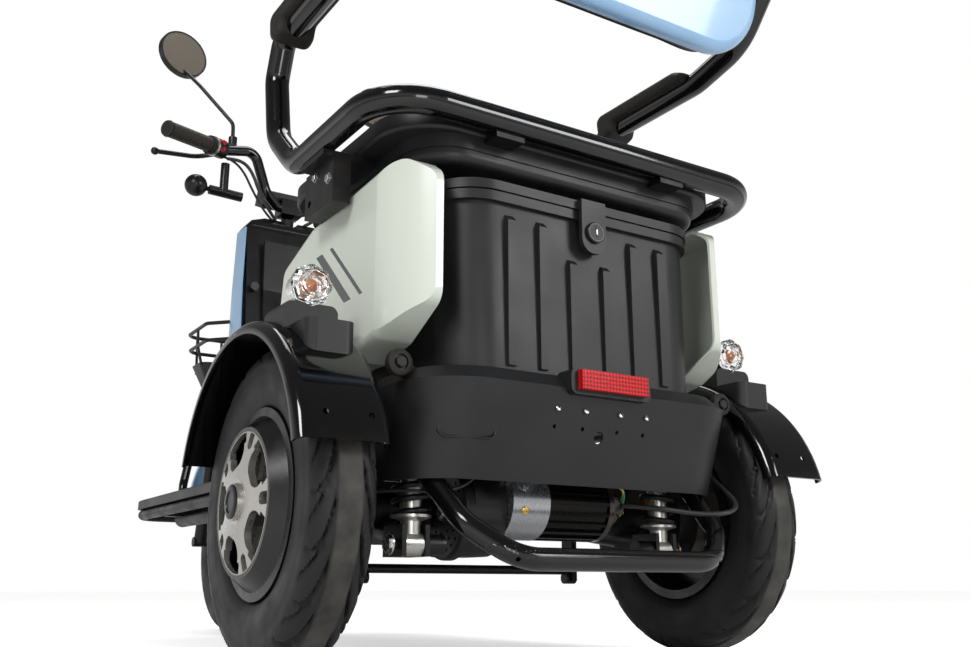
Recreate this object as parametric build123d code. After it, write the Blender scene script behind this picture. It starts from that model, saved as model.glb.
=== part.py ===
"""Electric tricycle for one rider: seat with armrests, lockable trunk under the seat, small front wheel.

Millimetres.  Forward is +Y, the rider's right is +X, up is +Z.  Heights are measured from the ground.
Lengths along Y are measured from the rear axle while the pieces are made, and save() moves every piece
so that the part's origin is on the ground under the middle of the vehicle.
"""
from build123d import *
import os
from math import cos, radians, sin, tan

os.makedirs("parts", exist_ok=True)

# ---------------------------------------------------------------- driving dimensions
ORIGIN_Y = 450              # the part's origin lies this far ahead of the rear axle
WHEELBASE = 1045
HALF_TRACK = 318
WHEEL_R = 183
TYRE_WIDTH = 76
BEAD_R = 104
BEAD_HALF = 28              # half the distance between the rim's lips
AXLE_R = 12
RAKE = 14                   # of the steering axis, in degrees from upright
STEERER_TOP = 712           # from the front hub, along the steering axis

SEAT_PAN_Z = 600
SEAT_TOP = 678
SEAT_HINGE_Y = 205
SEAT_HINGE_Z = 590
RAIL_R = 17                 # tube of the rear rail, the arms and the backrest
RAIL_Z = 634
RAIL_REAR = -192
RAIL_END = 20               # where the rear rail ends and the arm tube goes on
ARM_X = 298
ARM_Z = 858
BACKREST_LEAN = 14
BACKREST_FOOT = (0, -222, 800)

FLOOR_TOP = 241
DECK = 16
FLOOR_HALF = 295
FLOOR_REAR = 212
FLOOR_FRONT = 805
SIDE_RAIL_X = 150           # the two long tubes of the frame
SIDE_RAIL_R = 16

TUB_HALF = 196
TUB_REAR = -172
TUB_FRONT = 150
TUB_BOTTOM = 325
TUB_TOP = 549
LID_TOP = 567
RIB_X = (-118, -72, -26, 26, 72, 118)
RIB_TOP = 526
POD_X = 262                 # outer face of the side pods
POD_WALL = 4
PANEL = 3                   # wall of the other moulded panels
TUBE_WALL = 2

FENDER_R = 206
FENDER_IN = 280
FENDER_OUT = 386
FRONT_FENDER_R = 224
FORK_X = 90
SHOCK_X = 191
SHOCK_Y = -73
STEP_ARM_X = 203
STEP_ARM_Y = -112
MOTOR_Y = -70
MOTOR_Z = 191


def steer_point(distance, x=0, ahead=0):
    """A point on the steering axis, at a distance above the front hub, moved sideways and ahead of it."""
    y = WHEELBASE - distance * sin(radians(RAKE)) + ahead * cos(radians(RAKE))
    z = WHEEL_R + distance * cos(radians(RAKE)) + ahead * sin(radians(RAKE))
    return (x, y, z)


# ---------------------------------------------------------------- helpers
def save(shape, name):
    """Move a finished piece to the part's origin and write it."""
    moved = Pos(0, -ORIGIN_Y, 0) * shape
    moved.label = name
    export_step(moved, f"parts/{name}.step")


def pipe(points, radius, bend=0, wall=0):
    """A round bar, or a tube when it has a wall, along straight runs with rounded corners."""
    path = Polyline(*points) if len(points) == 2 else FilletPolyline(*points, radius=bend)
    section = Circle(radius)
    if wall:
        section -= Circle(radius - wall)
    return sweep(Plane(origin=path @ 0, z_dir=path % 0) * section, path=path)


def cord(points, radius, name):
    """A hanging lead: each corner is rounded as far as its two runs allow."""
    corners = [Vector(*point) for point in points]
    bends = []
    for before, corner, after in zip(corners, corners[1:], corners[2:]):
        run = min((corner - before).length, (after - corner).length)
        turn = (corner - before).get_angle(after - corner)
        bends.append(0.45 * run / tan(radians(turn / 2)))
    lead = pipe(points, radius, bends)
    path = FilletPolyline(*points, radius=bends)
    section_volume = Circle(radius).area * path.length
    print(name, "length", round(path.length), "bends", [round(bend) for bend in bends],
          "volume ratio", round(lead.volume / section_volume, 3))
    save(lead, name)


def box(x0, x1, y0, y1, z0, z1):
    """A block between two corners."""
    return Pos((x0 + x1) / 2, (y0 + y1) / 2, (z0 + z1) / 2) * Box(x1 - x0, y1 - y0, z1 - z0)


def bar_x(x0, x1, y, z, radius):
    """A round bar that runs across the vehicle."""
    return Pos((x0 + x1) / 2, y, z) * Rot(0, 90, 0) * Cylinder(radius, x1 - x0)


def slab(half, y0, y1, z0, z1, corner):
    """A block with rounded upright corners."""
    block = box(-half, half, y0, y1, z0, z1)
    return fillet(block.edges().filter_by(Axis.Z), corner)


def left_right(shape):
    """A piece of the left side with its mirror image on the right."""
    return shape + mirror(shape, about=Plane.YZ)


# ---------------------------------------------------------------- wheels
def tyre():
    """A tyre about the X axis: straight beads, bulged sidewalls and a rounded crown."""
    shoulder = (31, WHEEL_R - 13)
    base = Polyline((-BEAD_HALF, 110), (-BEAD_HALF, BEAD_R), (BEAD_HALF, BEAD_R), (BEAD_HALF, 110))
    right = ThreePointArc((BEAD_HALF, 110), (TYRE_WIDTH / 2, 142), shoulder)
    crown = ThreePointArc(shoulder, (0, WHEEL_R), (-shoulder[0], shoulder[1]))
    left = ThreePointArc((-shoulder[0], shoulder[1]), (-TYRE_WIDTH / 2, 142), (-BEAD_HALF, 110))
    return revolve(make_face(base + right + crown + left), Axis.X)


def cast_wheel(ring_x, hub_x, bore, bore_end):
    """A cast wheel about the X axis, its face towards +X: rim, closed dish and a star of forked spokes."""
    lip = BEAD_HALF + 5
    rim = Polyline((-lip, 109), (-BEAD_HALF, 109), (-BEAD_HALF, BEAD_R), (BEAD_HALF, BEAD_R), (BEAD_HALF, 109),
                   (lip, 109), (lip + 1, 99), (ring_x, 85), (ring_x, 79), (ring_x - 6, 79), (BEAD_HALF - 4, 95),
                   (-lip, 97), (-lip, 109))
    wheel = revolve(make_face(rim), Axis.X)
    dish = Polyline((14, 97.5), (18, 97.5), (22, 22), (16, 22), (14, 97.5))
    wheel += revolve(make_face(dish), Axis.X)
    cone = Polyline((ring_x - 7, 81), (ring_x, 81), (hub_x - 3, 24), (hub_x - 12, 24), (ring_x - 7, 81))
    star = revolve(make_face(cone), Axis.X)
    gap = Pos(0, 58) * SlotOverall(46, 34) + Pos(0, 74) * Rectangle(56, 24)
    fork = Pos(0, 74) * RectangleRounded(14, 26, 6)
    gaps = Sketch() + [spot * Rot(0, 0, -90) * gap for spot in PolarLocations(0.001, 5)]
    forks = Sketch() + [spot * Rot(0, 0, -90) * fork for spot in PolarLocations(0.001, 5, 36)]
    cutters = extrude(Plane.YZ * (gaps + forks), 120, both=True)
    ring = bar_x(ring_x - 5, ring_x, 0, 0, 85) - bar_x(ring_x - 5, ring_x, 0, 0, 79)
    wheel += (star - cutters) + ring
    wheel += bar_x(-36, hub_x - 3, 0, 0, 26) + bar_x(hub_x - 3, hub_x + 2, 0, 0, 21)
    return wheel - bar_x(-60, bore_end, 0, 0, bore)


def make_wheels():
    rubber = tyre()
    rear = cast_wheel(50, 60, AXLE_R + 0.3, 42)
    spot = Pos(HALF_TRACK, 0, WHEEL_R)
    for side in ("left", "right"):
        whole_tyre = spot * rubber
        wheel = spot * rear
        if side == "left":
            whole_tyre = mirror(whole_tyre, about=Plane.YZ)
            wheel = mirror(wheel, about=Plane.YZ)
        save(whole_tyre, f"rear_tyre_{side}")
        save(wheel, f"rear_wheel_{side}")
    spot = Pos(0, WHEELBASE, WHEEL_R)
    save(spot * rubber, "front_tyre")
    save(mirror(spot * cast_wheel(36, 40, 10.3, 60), about=Plane.YZ), "front_wheel")


# ---------------------------------------------------------------- rear axle and drive
def make_rear_axle():
    """Axle tube with gear case, brake drums, and the trailing arms that carry the shock absorbers."""
    axle = bar_x(-245, 245, 0, WHEEL_R, 24)
    axle += bar_x(-HALF_TRACK - 40, HALF_TRACK + 40, 0, WHEEL_R, AXLE_R)
    case = fillet(box(-120, -75, -102, 45, 126, 240).edges().filter_by(Axis.X), 50)
    drum = bar_x(-277, -243, 0, WHEEL_R, 62)
    arm = pipe([(-SHOCK_X, 250, 203), (-SHOCK_X, 70, 168), (-SHOCK_X, -52, 150)], 15, 90)
    pivot = bar_x(-207, -SIDE_RAIL_X - SIDE_RAIL_R - 0.3, 250, 203, 18)
    lugs = box(-SHOCK_X - 18, -SHOCK_X + 18, SHOCK_Y - 15, -40, 124, 160)
    lugs -= box(-SHOCK_X - 12.3, -SHOCK_X + 12.3, SHOCK_Y - 16, SHOCK_Y + 17, 120, 170)
    bolt = bar_x(-SHOCK_X - 26, -SHOCK_X + 40, SHOCK_Y, 138, 6) + bar_x(-SHOCK_X + 18, -SHOCK_X + 42, SHOCK_Y, 138, 12)
    link = box(-SHOCK_X - 9, -SHOCK_X + 9, -40, 10, 140, 170)
    save(axle + case + left_right(drum + arm + pivot + lugs + bolt + link), "rear_axle")


def make_motor():
    """Drive motor beside the gear case: smooth front half, finned rear half, terminal cap."""
    smooth = bar_x(-74.5, -20, MOTOR_Y, MOTOR_Z, 45)
    finned = bar_x(-20, 74, MOTOR_Y, MOTOR_Z, 41)
    fins = Sketch() + [spot * Rectangle(5, 4) for spot in PolarLocations(42, 20)]
    finned += Pos(-20, MOTOR_Y, MOTOR_Z) * extrude(Plane.YZ * fins, 94)
    end = bar_x(74, 82, MOTOR_Y, MOTOR_Z, 44)
    cap = bar_x(82, 106, MOTOR_Y, MOTOR_Z, 24)
    terminals = box(84, 104, MOTOR_Y - 34, MOTOR_Y, MOTOR_Z - 10, MOTOR_Z + 12)
    save(smooth + finned + end + cap + terminals, "drive_motor")


def make_gear_guard():
    """Round guard on the outer side of the gear case, with rings of small holes."""
    plate = bar_x(-133, -120, -45, 178, 57)
    plate = fillet(plate.edges().sort_by(Axis.X)[:1], 5)
    holes = Sketch()
    for radius, count in ((46, 24), (36, 18), (26, 12)):
        holes += [spot * Circle(2) for spot in PolarLocations(radius, count)]
    plate -= bar_x(-140, -110, 0, WHEEL_R, 24.4)
    save(plate - Pos(-135, -45, 178) * extrude(Plane.YZ * holes, 9), "gear_guard")


def make_shock_absorbers():
    """Coil-over shock absorber on each side, upright behind the axle; the spring is a plain sleeve here."""
    low = 138
    high = 286
    rod = Pos(-SHOCK_X, SHOCK_Y, (low + high) / 2) * Cylinder(8, high - low)
    spring = Pos(-SHOCK_X, SHOCK_Y, 216) * Cylinder(24, 92)
    eyes = bar_x(-SHOCK_X - 12, -SHOCK_X + 12, SHOCK_Y, low, 14)
    eyes += bar_x(-SHOCK_X - 12, -SHOCK_X + 12, SHOCK_Y, high, 13)
    bores = bar_x(-SHOCK_X - 20, -SHOCK_X + 20, SHOCK_Y, low, 6.2)
    bores += bar_x(-SHOCK_X - 20, -SHOCK_X + 20, SHOCK_Y, high, 6.2)
    save(left_right(rod + spring + eyes - bores), "shock_absorbers")


def make_brake_linkage():
    """Cross shaft of the parking brake under the arms, with a clevis lever at each end."""
    shaft = bar_x(-175, 175, 100, 114, 6)
    lever = box(-175, -166, 88, 112, 99, 158) + bar_x(-178, -160, 100, 103, 8)
    save(shaft + left_right(lever), "brake_linkage")


# ---------------------------------------------------------------- frame
SPINE = [(0, 575, 204), (0, 755, 204), (0, 815, 360), steer_point(330)]


def make_frame():
    """Welded tube frame: side rails, spine to the steering head, seat posts and the rear cross bars."""
    x = SIDE_RAIL_X
    low = FLOOR_TOP - DECK - SIDE_RAIL_R - 0.3
    rail = pipe([(-x, -95, 306), (-x, 80, 306), (-x, 185, low), (-x, 700, low)], SIDE_RAIL_R, 50, TUBE_WALL)
    post = pipe([(-x, 185, low), (-x, 185, 566)], 12)
    spine = pipe(SPINE, 20, 60, TUBE_WALL)
    head = pipe([steer_point(285), steer_point(560)], 24)
    crosses = box(-x, x, 245, 275, 200, 224.5) + box(-x, x, 560, 590, 200, 224.5)
    crosses += box(-x, x, 174, 196, 556, 572)
    crosses += box(-274, 274, -40, -10, 296, 312) + box(-204, 204, SHOCK_Y - 15, SHOCK_Y + 15, 301, TUB_BOTTOM - 0.3)
    crosses += box(-228, 228, STEP_ARM_Y - 10, SHOCK_Y - 14, 301, 308)
    fender_stay = box(-279.7, -274, -40, -10, 296, 384)
    lugs = box(-SHOCK_X - 18, -SHOCK_X + 18, SHOCK_Y - 15, SHOCK_Y + 15, 274, 302)
    lugs -= box(-SHOCK_X - 12.3, -SHOCK_X + 12.3, SHOCK_Y - 16, SHOCK_Y + 16, 270, 300.5)
    bolt = bar_x(-SHOCK_X - 22, -SHOCK_X + 22, SHOCK_Y, 286, 6)
    fascia_lug = box(-120, -90, -165, SHOCK_Y - 14, 302, 316)
    knuckle = bar_x(-70, -40, SEAT_HINGE_Y, SEAT_HINGE_Z, 8)
    knuckle += box(-70, -40, 190, SEAT_HINGE_Y, 566, SEAT_HINGE_Z)
    pin = bar_x(-70, 70, SEAT_HINGE_Y, SEAT_HINGE_Z, 4)
    frame = left_right(rail + post + fender_stay + lugs + bolt + fascia_lug + knuckle)
    frame += crosses + spine + head + pin
    save(frame - pipe([steer_point(280), steer_point(565)], 17), "frame")


def make_floorboard():
    """Footboard: a deck with rounded front corners above a rim tube and its outriggers."""
    deck = box(-FLOOR_HALF, FLOOR_HALF, FLOOR_REAR, FLOOR_FRONT, FLOOR_TOP - DECK, FLOOR_TOP)
    deck = fillet(deck.edges().filter_by(Axis.Z).group_by(Axis.Y)[-1], 50)
    deck = fillet(deck.edges().group_by(Axis.Z)[-1], 4)
    deck -= pipe(SPINE, 20.7, 60)
    save(deck, "floorboard")
    rim_x = FLOOR_HALF - 10
    rim_y = FLOOR_FRONT - 10
    rim_z = FLOOR_TOP - DECK - 9.3
    rim = [(-rim_x, FLOOR_REAR, rim_z), (-rim_x, rim_y, rim_z), (rim_x, rim_y, rim_z), (rim_x, FLOOR_REAR, rim_z)]
    rails = pipe(rim, 9, 42)
    support = pipe([(-245, FLOOR_REAR + 10, 204), (-245, 650, 204)], 14)
    outriggers = box(-rim_x, -167, 300, 324, 205, 221) + box(-rim_x, -167, 600, 624, 205, 221)
    save(rails + left_right(support + outriggers), "floor_rails")


# ---------------------------------------------------------------- steering head and front body
SHELL_BOTTOM = 452
SHELL_TOP = 832
SHELL_HALF = 112            # at the foot of the shell
SHELL_HALF_TOP = 101
SHELL_LEVELS = (            # height, back, nose and half width of the outer shell
    (SHELL_BOTTOM, 803, 1004, SHELL_HALF),
    (700, 836, 966, 107),
    (SHELL_TOP, 851, 944, SHELL_HALF_TOP),
)


def nose_outline(z, back, nose, half, inset=0):
    """Rounded outline of the front body seen from above, at one height."""
    middle = back + 50
    corner = half - inset
    arc = EllipticalCenterArc((0, middle), corner, nose - middle - inset, 0, arc_size=180)
    sides = Polyline((-corner, middle), (-corner, back), (corner, back), (corner, middle))
    return Pos(0, 0, z) * make_face(arc + sides)


def front_body(inset=0, grow=0, deeper=0):
    """The outer shell's body, drawn in by an inset; grow lengthens it and deeper moves its back out."""
    outlines = []
    for z, back, nose, half in SHELL_LEVELS:
        stretch = grow if z == SHELL_TOP else -grow if z == SHELL_BOTTOM else 0
        outlines.append(nose_outline(z + stretch, back - deeper, nose, half, inset))
    return loft(outlines, ruled=True)


def make_front_body():
    """Inner leg shield with domed top, outer shell and headlight."""
    lamp_seat = Pos(0, 990, 748) * Rot(90, 0, 0) * Cylinder(46, 130)
    save(front_body() - front_body(PANEL, 1, 12) - lamp_seat, "front_shell")

    rear_face = [(850, SHELL_TOP), (832, 690), (800, 450), (735, 262), (735, FLOOR_TOP + 0.3)]
    front_face = [(y + 4, z) for y, z in rear_face]
    side = Plane.YZ * make_face(Polyline(*rear_face, *reversed(front_face), rear_face[0]))
    panel = extrude(side, SHELL_HALF_TOP - PANEL - 0.5, both=True)
    pad = [(836, 800), (832, 690), (806, 500), (794, 500), (822, 690), (828, 800), (836, 800)]
    panel += extrude(Plane.YZ * make_face(Polyline(*pad)), 64, both=True)
    knob = Pos(-84, 826, 694) * Rot(90, 0, 0) * Cylinder(9, 18)
    dome_low = nose_outline(SHELL_TOP + 0.3, 849, 944, SHELL_HALF_TOP)
    dome_mid = nose_outline(850, 852, 936, 88)
    dome_top = nose_outline(862, 858, 922, 56)
    dome = loft([dome_low, dome_mid], ruled=True) + loft([dome_mid, dome_top], ruled=True)
    dome -= pipe([steer_point(640), steer_point(780)], 25)
    dome -= box(-56, 56, 868, 924, SHELL_TOP - 5, 848)
    neck = box(-86, 86, 850, 858, SHELL_TOP - 12, SHELL_TOP + 8)
    save(panel + knob + neck + dome, "leg_shield")

    lens = Pos(0, 984, 748) * Rot(90, 0, 0) * Cylinder(45, 12)
    lamp = Pos(0, 956, 748) * Rot(90, 0, 0) * Cylinder(42, 60)
    save(lens + lamp - pipe([steer_point(500), steer_point(700)], 28), "headlight")


def make_front_basket():
    """Small wire basket on a tapered tray ahead of the front body."""
    basket = loft([Pos(0, 1053, 566) * RectangleRounded(252, 88, 22), Pos(0, 1047, 505) * RectangleRounded(200, 62, 18)])
    basket -= loft([Pos(0, 1053, 567) * RectangleRounded(244, 80, 18), Pos(0, 1047, 510) * RectangleRounded(192, 54, 14)])
    for z, half, front in ((638, 136, 1104), (601, 134, 1098)):
        loop = [(-94, 915, z), (-half, 960, z), (-half, front, z), (half, front, z), (half, 960, z), (94, 915, z)]
        basket += pipe(loop, 4, [20, 30, 30, 20])
    for x in (-112, -56, 0, 56, 112):
        basket += pipe([(x, 1093, 552), (x, 1098, 600), (x, 1103, 638)], 3, 20)
    for x in (-130, 130):
        basket += pipe([(x * 0.95, 1020, 560), (x * 1.03, 1020, 601), (x * 1.045, 1020, 638)], 3, 20)
    basket += left_right(box(-60, -40, 980, 1020, 520, 545))
    save(basket - front_body(), "front_basket")


def make_front_guard():
    """Curved guard tube on each side, from the footboard up to the basket's tray."""
    points = [(-200, 816, 216), (-200, 822, 278), (-165, 892, 375), (-128, 930, 470), (-118, 936, 520)]
    tube = pipe(points, 8, [30, 90, 60])
    foot = box(-208, -192, 804.3, 818, 207, 224)
    clip = box(-118, -80, 926, 946, 508, 530)
    save(left_right(tube + foot + clip) - front_body(), "front_guard")


def make_fork():
    """Fork with its crown, steerer tube and wheel axle."""
    crown_z = 250
    leg = pipe([steer_point(0, -FORK_X), steer_point(crown_z, -FORK_X)], 14)
    upright = (0, -sin(radians(RAKE)), cos(radians(RAKE)))
    crown = Plane(origin=steer_point(crown_z), x_dir=(1, 0, 0), z_dir=upright) * Box(2 * FORK_X + 28, 44, 24)
    steerer = pipe([steer_point(crown_z), steer_point(STEERER_TOP)], 14)
    axle = bar_x(-FORK_X - 16, FORK_X + 16, WHEELBASE, WHEEL_R, 10)
    save(left_right(leg) + crown + steerer + axle, "fork")

    wide = 2 * (FORK_X - 20)
    section = Pos(0, FRONT_FENDER_R - 9) * Rectangle(wide, 18)
    section = fillet(section.vertices().group_by(Axis.Y)[-1], 12)
    section -= Pos(0, FRONT_FENDER_R - 12) * Rectangle(wide - 2 * PANEL, 18)
    guard = Rot(14, 0, 0) * revolve(section, Axis.X, 134)
    tip = Pos(0, FRONT_FENDER_R * 0.5, 0) * (Rectangle(wide + 40, FRONT_FENDER_R) - Circle(wide / 2 + 2))
    guard -= extrude(Pos(0, 0, -200) * tip, 260) & box(-200, 200, 120, 300, -200, 95)
    mount = box(-24, 24, 978, 1008, 396, 422) - crown - bar_x(-30, 30, WHEELBASE, WHEEL_R, FRONT_FENDER_R - 2)
    save(Pos(0, WHEELBASE, WHEEL_R) * guard + mount, "front_mudguard")


def make_handlebar():
    """Handlebar with grips, levers, switch housings, indicators, mirrors and meter."""
    outer = Vector(-302, 752, 966)
    inner = Vector(-165, 829, 983)
    left_half = [tuple(outer), tuple(inner), (-96, 838, 1001), (-64, 842, 915), (-30, 858, 893)]
    right_half = [(-x, y, z) for x, y, z in reversed(left_half)]
    bar = pipe(left_half + right_half, 11, [30, 26, 26, 18, 18, 26, 26, 30], TUBE_WALL)
    stem = box(-24, 24, 846, 890, 878, 912) - bar_x(-30, 30, 858, 893, 10)
    bar += stem - pipe([steer_point(680), steer_point(STEERER_TOP)], 14.2)
    save(bar, "handlebar")

    along = (inner - outer).normalized()
    grip = pipe([tuple(outer - along * 5), tuple(outer + along * 118)], 16)
    grip -= pipe([tuple(outer - along * 1), tuple(inner)], 11.2)
    save(left_right(grip), "grips")

    housing = pipe([tuple(outer + along * 122), tuple(outer + along * 152)], 20)
    housing -= pipe([tuple(outer), tuple(inner + along * 30)], 11.2)
    lever = pipe([(-172, 850, 982), (-210, 872, 974), (-300, 842, 953)], 5, 40)
    perch = pipe([(-178, 824, 980), (-172, 854, 982)], 8)
    perch -= pipe([tuple(outer), tuple(inner + along * 30)], 11.2)
    ball = Pos(-304, 840, 952) * Sphere(8)
    save(left_right(housing + perch + lever + ball), "brake_levers")

    post = pipe([(-158, 836, 956), (-158, 836, 892)], 9)
    arm = pipe([(-118, 838, 890), (-188, 838, 893)], 10)
    neck = pipe([(-184, 838, 893), (-204, 838, 895)], 5)
    head = Pos(-216, 838, 896) * Rot(35, 20, 0) * Sphere(23)
    save(left_right(post + arm + neck + head), "front_indicators")

    foot = pipe([(-146, 836, 1003), (-146, 836, 1020)], 9)
    stalk = pipe([(-146, 836, 1014), (-150, 828, 1048), (-216, 872, 1140), (-236, 930, 1196)], 4, [20, 60])
    glass = Pos(-240, 938, 1237) * Rot(0, 0, 12) * Rot(84, 0, 0) * Cylinder(55, 12)
    save(left_right(foot + stalk + glass), "mirrors")

    meter = Pos(0, 912, 928) * Rot(24, 0, 0) * Box(104, 52, 40)
    save(meter - box(-200, 200, 800, 884.3, 800, 1000), "meter")


# ---------------------------------------------------------------- seat, arms and backrest
def make_seat():
    """Stepped seat pan with its hinge knuckle, and the cushion on it."""
    keel = slab(228, -166, 168, 582, SEAT_PAN_Z, 62)
    keel = fillet(keel.edges().group_by(Axis.Z)[0], 12)
    rim = slab(262, -173, 212, 617, 640, 78)
    pan = keel + slab(232, -168, 212, SEAT_PAN_Z, 617, 64) + fillet(rim.edges().group_by(Axis.Z)[0], 5)
    knuckle = bar_x(-38, 38, SEAT_HINGE_Y, SEAT_HINGE_Z, 8) + box(-38, 38, 197, 213, SEAT_HINGE_Z, SEAT_PAN_Z + 1)
    knuckle -= bar_x(-50, 50, SEAT_HINGE_Y, SEAT_HINGE_Z, 4.3)
    room = box(-72, 72, 194, 230, 560, 600.5)
    save(pan - (room - box(-39, 39, 190, 240, 500, 700)) + knuckle, "seat_pan")
    cushion = slab(236, -168, 216, 640, SEAT_TOP, 72)
    save(fillet(cushion.edges().group_by(Axis.Z)[-1], 30), "seat_cushion")


def make_seat_tubes():
    """The rear rail, the arm hoop above it, and the brackets that tie them to the seat pan."""
    rail = [(-ARM_X, RAIL_END, RAIL_Z), (-ARM_X, RAIL_REAR, RAIL_Z), (ARM_X, RAIL_REAR, RAIL_Z), (ARM_X, RAIL_END, RAIL_Z)]
    save(pipe(rail, RAIL_R, 72, TUBE_WALL), "rear_rail")

    side = [(-ARM_X, RAIL_END, RAIL_Z), (-ARM_X, 62, RAIL_Z), (-ARM_X, 140, 702), (-ARM_X, 160, 800),
            (-ARM_X, 138, ARM_Z), (-ARM_X, -88, ARM_Z), (-ARM_X, -180, 880), (-ARM_X, -236, 950),
            (-ARM_X, -296, 1042), (-ARM_X + 66, -350, 1052)]
    other = [(-x, y, z) for x, y, z in reversed(side)]
    bends = [60, 60, 34, 24, 90, 90, 60, 38]
    hoop = pipe(side + other, RAIL_R, bends + [40, 40] + bends[::-1], TUBE_WALL)
    save(hoop, "arm_hoop")

    plate = box(-ARM_X - 8, -232.3, -42, 30, 609, 616.5)
    outer = box(-292, -287, -42, 44, 550, 610) + box(-292, -268, -42, 44, 550, 554)
    cheek = box(-292, -268, -42, -38, 550, 610)
    slot = Pos(-290, 30, 568) * Rot(0, 90, 0) * Cylinder(5, 20)
    side_bracket = plate + outer + cheek - slot
    tie = box(-150, -110, -196, -168.3, 611, 622) - pipe([(-200, RAIL_REAR, RAIL_Z), (200, RAIL_REAR, RAIL_Z)], RAIL_R)
    tie -= box(-262, 262, -173.3, 213, 616.7, 640)
    save(left_right(side_bracket + tie), "seat_brackets")


def make_backrest():
    """Leaning backrest: a shallow moulded shell behind a thick cushion that stands past it, and the armrest pads."""
    lean = Pos(*BACKREST_FOOT) * Rot(BACKREST_LEAN, 0, 0)
    shape = Pos(0, -9, 165) * Box(504, 22, 314)
    shape = fillet(shape.edges().filter_by(Axis.Y), 82)
    shape = fillet(shape.edges().group_by(Axis.Y)[0], 15)
    inner = Pos(0, 0, 165) * Box(494, 24, 304)
    inner = fillet(inner.edges().filter_by(Axis.Y), 77)
    save(lean * (shape - inner), "backrest_shell")
    pad = Pos(0, 22.3, 165) * Box(520, 40, 330)
    pad = fillet(pad.edges().filter_by(Axis.Y), 90)
    pad = fillet(pad.edges().group_by(Axis.Y)[-1], 16)
    core = Pos(0, -4.5, 165) * Box(493, 14, 303)
    save(lean * (pad + fillet(core.edges().filter_by(Axis.Y), 76)), "backrest_cushion")
    profile = [(160, 782), (178, 782), (190, 800), (190, 838), (172, 868), (142, 885), (-62, 885), (-84, 876),
               (-84, 858), (136, 858), (160, 800), (160, 782)]
    saddle = extrude(Plane.YZ * make_face(Polyline(*profile)), 29, both=True)
    saddle = fillet(saddle.edges().filter_by(Axis.X), 3)
    saddle = Pos(-ARM_X, 0, 0) * saddle
    groove = pipe([(-ARM_X, 120, 660), (-ARM_X, 140, 702), (-ARM_X, 160, 800), (-ARM_X, 138, ARM_Z),
                   (-ARM_X, -120, ARM_Z)], RAIL_R + 0.3, [60, 34, 24])
    save(left_right(saddle - groove), "armrest_pads")


# ---------------------------------------------------------------- trunk
def tub_block(inset, bottom, top):
    """The trunk's tapered block, drawn in by an inset on every upright side."""
    def outline(z, half, rear, front, corner):
        width = 2 * (half - inset)
        depth = front - rear - 2 * inset
        return Pos(0, (front + rear) / 2, z) * RectangleRounded(width, depth, corner - inset)
    low = outline(bottom, TUB_HALF - 8, TUB_REAR - 4, TUB_FRONT - 4, 56)
    high = outline(top, TUB_HALF, TUB_REAR, TUB_FRONT, 60)
    return loft([low, high])


def make_trunk():
    """Ribbed tub with a rolled rim, and the lid below the seat with the lock boss that hangs over the rear wall."""
    tub = tub_block(0, TUB_BOTTOM, TUB_TOP)
    tub += slab(TUB_HALF + 5, TUB_REAR - 7, TUB_FRONT + 5, TUB_TOP - 12, TUB_TOP, 64)
    for x in RIB_X:
        top = RIB_TOP if abs(x) > 30 else RIB_TOP - 40
        rib = box(x - 6, x + 6, TUB_REAR - 8, TUB_REAR + 6, 338, top)
        rib = chamfer(rib.edges().group_by(Axis.Z)[-1].sort_by(Axis.Y)[:1], 10)
        tub += rib
    tub -= tub_block(PANEL, TUB_BOTTOM + PANEL, TUB_TOP + 0.01)
    save(tub, "trunk_tub")

    rim = slab(TUB_HALF + 6, TUB_REAR - 9, TUB_FRONT + 6, TUB_TOP + 1.3, LID_TOP - 5, 65)
    crown = slab(TUB_HALF - 4, TUB_REAR + 2, TUB_FRONT - 4, LID_TOP - 5, LID_TOP, 56)
    riser = slab(TUB_HALF - 36, TUB_REAR + 36, TUB_FRONT - 24, LID_TOP, 581.7, 40)
    hollow = slab(TUB_HALF - 4, TUB_REAR + 4, TUB_FRONT - 4, TUB_TOP, LID_TOP - 8, 56)
    boss = box(-19, 19, TUB_REAR - 17, TUB_REAR - 10.5, 492, LID_TOP - 5)
    boss = fillet(boss.edges().filter_by(Axis.Y).group_by(Axis.Z)[0], 18)
    boss += box(-19, 19, TUB_REAR - 17, TUB_REAR - 8, TUB_TOP + 1.3, LID_TOP - 5)
    lock = Pos(0, TUB_REAR - 18, 519) * Rot(90, 0, 0) * Cylinder(10, 8)
    lock -= box(-1.5, 1.5, TUB_REAR - 30, TUB_REAR - 20, 513, 525)
    save(rim + crown + riser - hollow + boss + lock, "trunk_lid")


# ---------------------------------------------------------------- rear body

def pod_block(wall):
    """The left pod as a solid block, drawn in by a wall: its side outline, trimmed by its rounded plan."""
    low = 352 + wall
    outline = [(-150 + wall, 577 - wall), (92 - wall, 562 - wall), (192 - wall, 528), (208 - wall, 430),
               (150 - wall, low), (-40, low), (-106, low + 14), (-178 + wall, 404), (-178 + wall, 556),
               (-150 + wall, 577 - wall)]
    block = extrude(Plane.YZ * make_face(Polyline(*outline)), 56)
    block = Pos(-POD_X, 0, 0) * fillet(block.edges().filter_by(Axis.X), 22 - wall)
    outer = -POD_X + wall
    turn = ThreePointArc((outer, -70), (outer + 9, -136), (outer + 42, -179 + wall))
    rest = Polyline((outer + 42, -179 + wall), (-180, -179 + wall), (-180, 230), (outer, 230), (outer, -70))
    return block & extrude(Pos(0, 0, 300) * make_face(turn + rest), 320)


def make_side_pods():
    """White side covers of the trunk: rounded panels, hollow behind, that turn in towards the rear."""
    pod = pod_block(0)
    pod = fillet(pod.edges().filter_by(Axis.Y).group_by(Axis.X)[0], 10)
    behind = box(-POD_X + 50, -150, -250, 250, 300, 620)
    save(left_right(pod - pod_block(POD_WALL) - behind), "side_pods")


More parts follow.
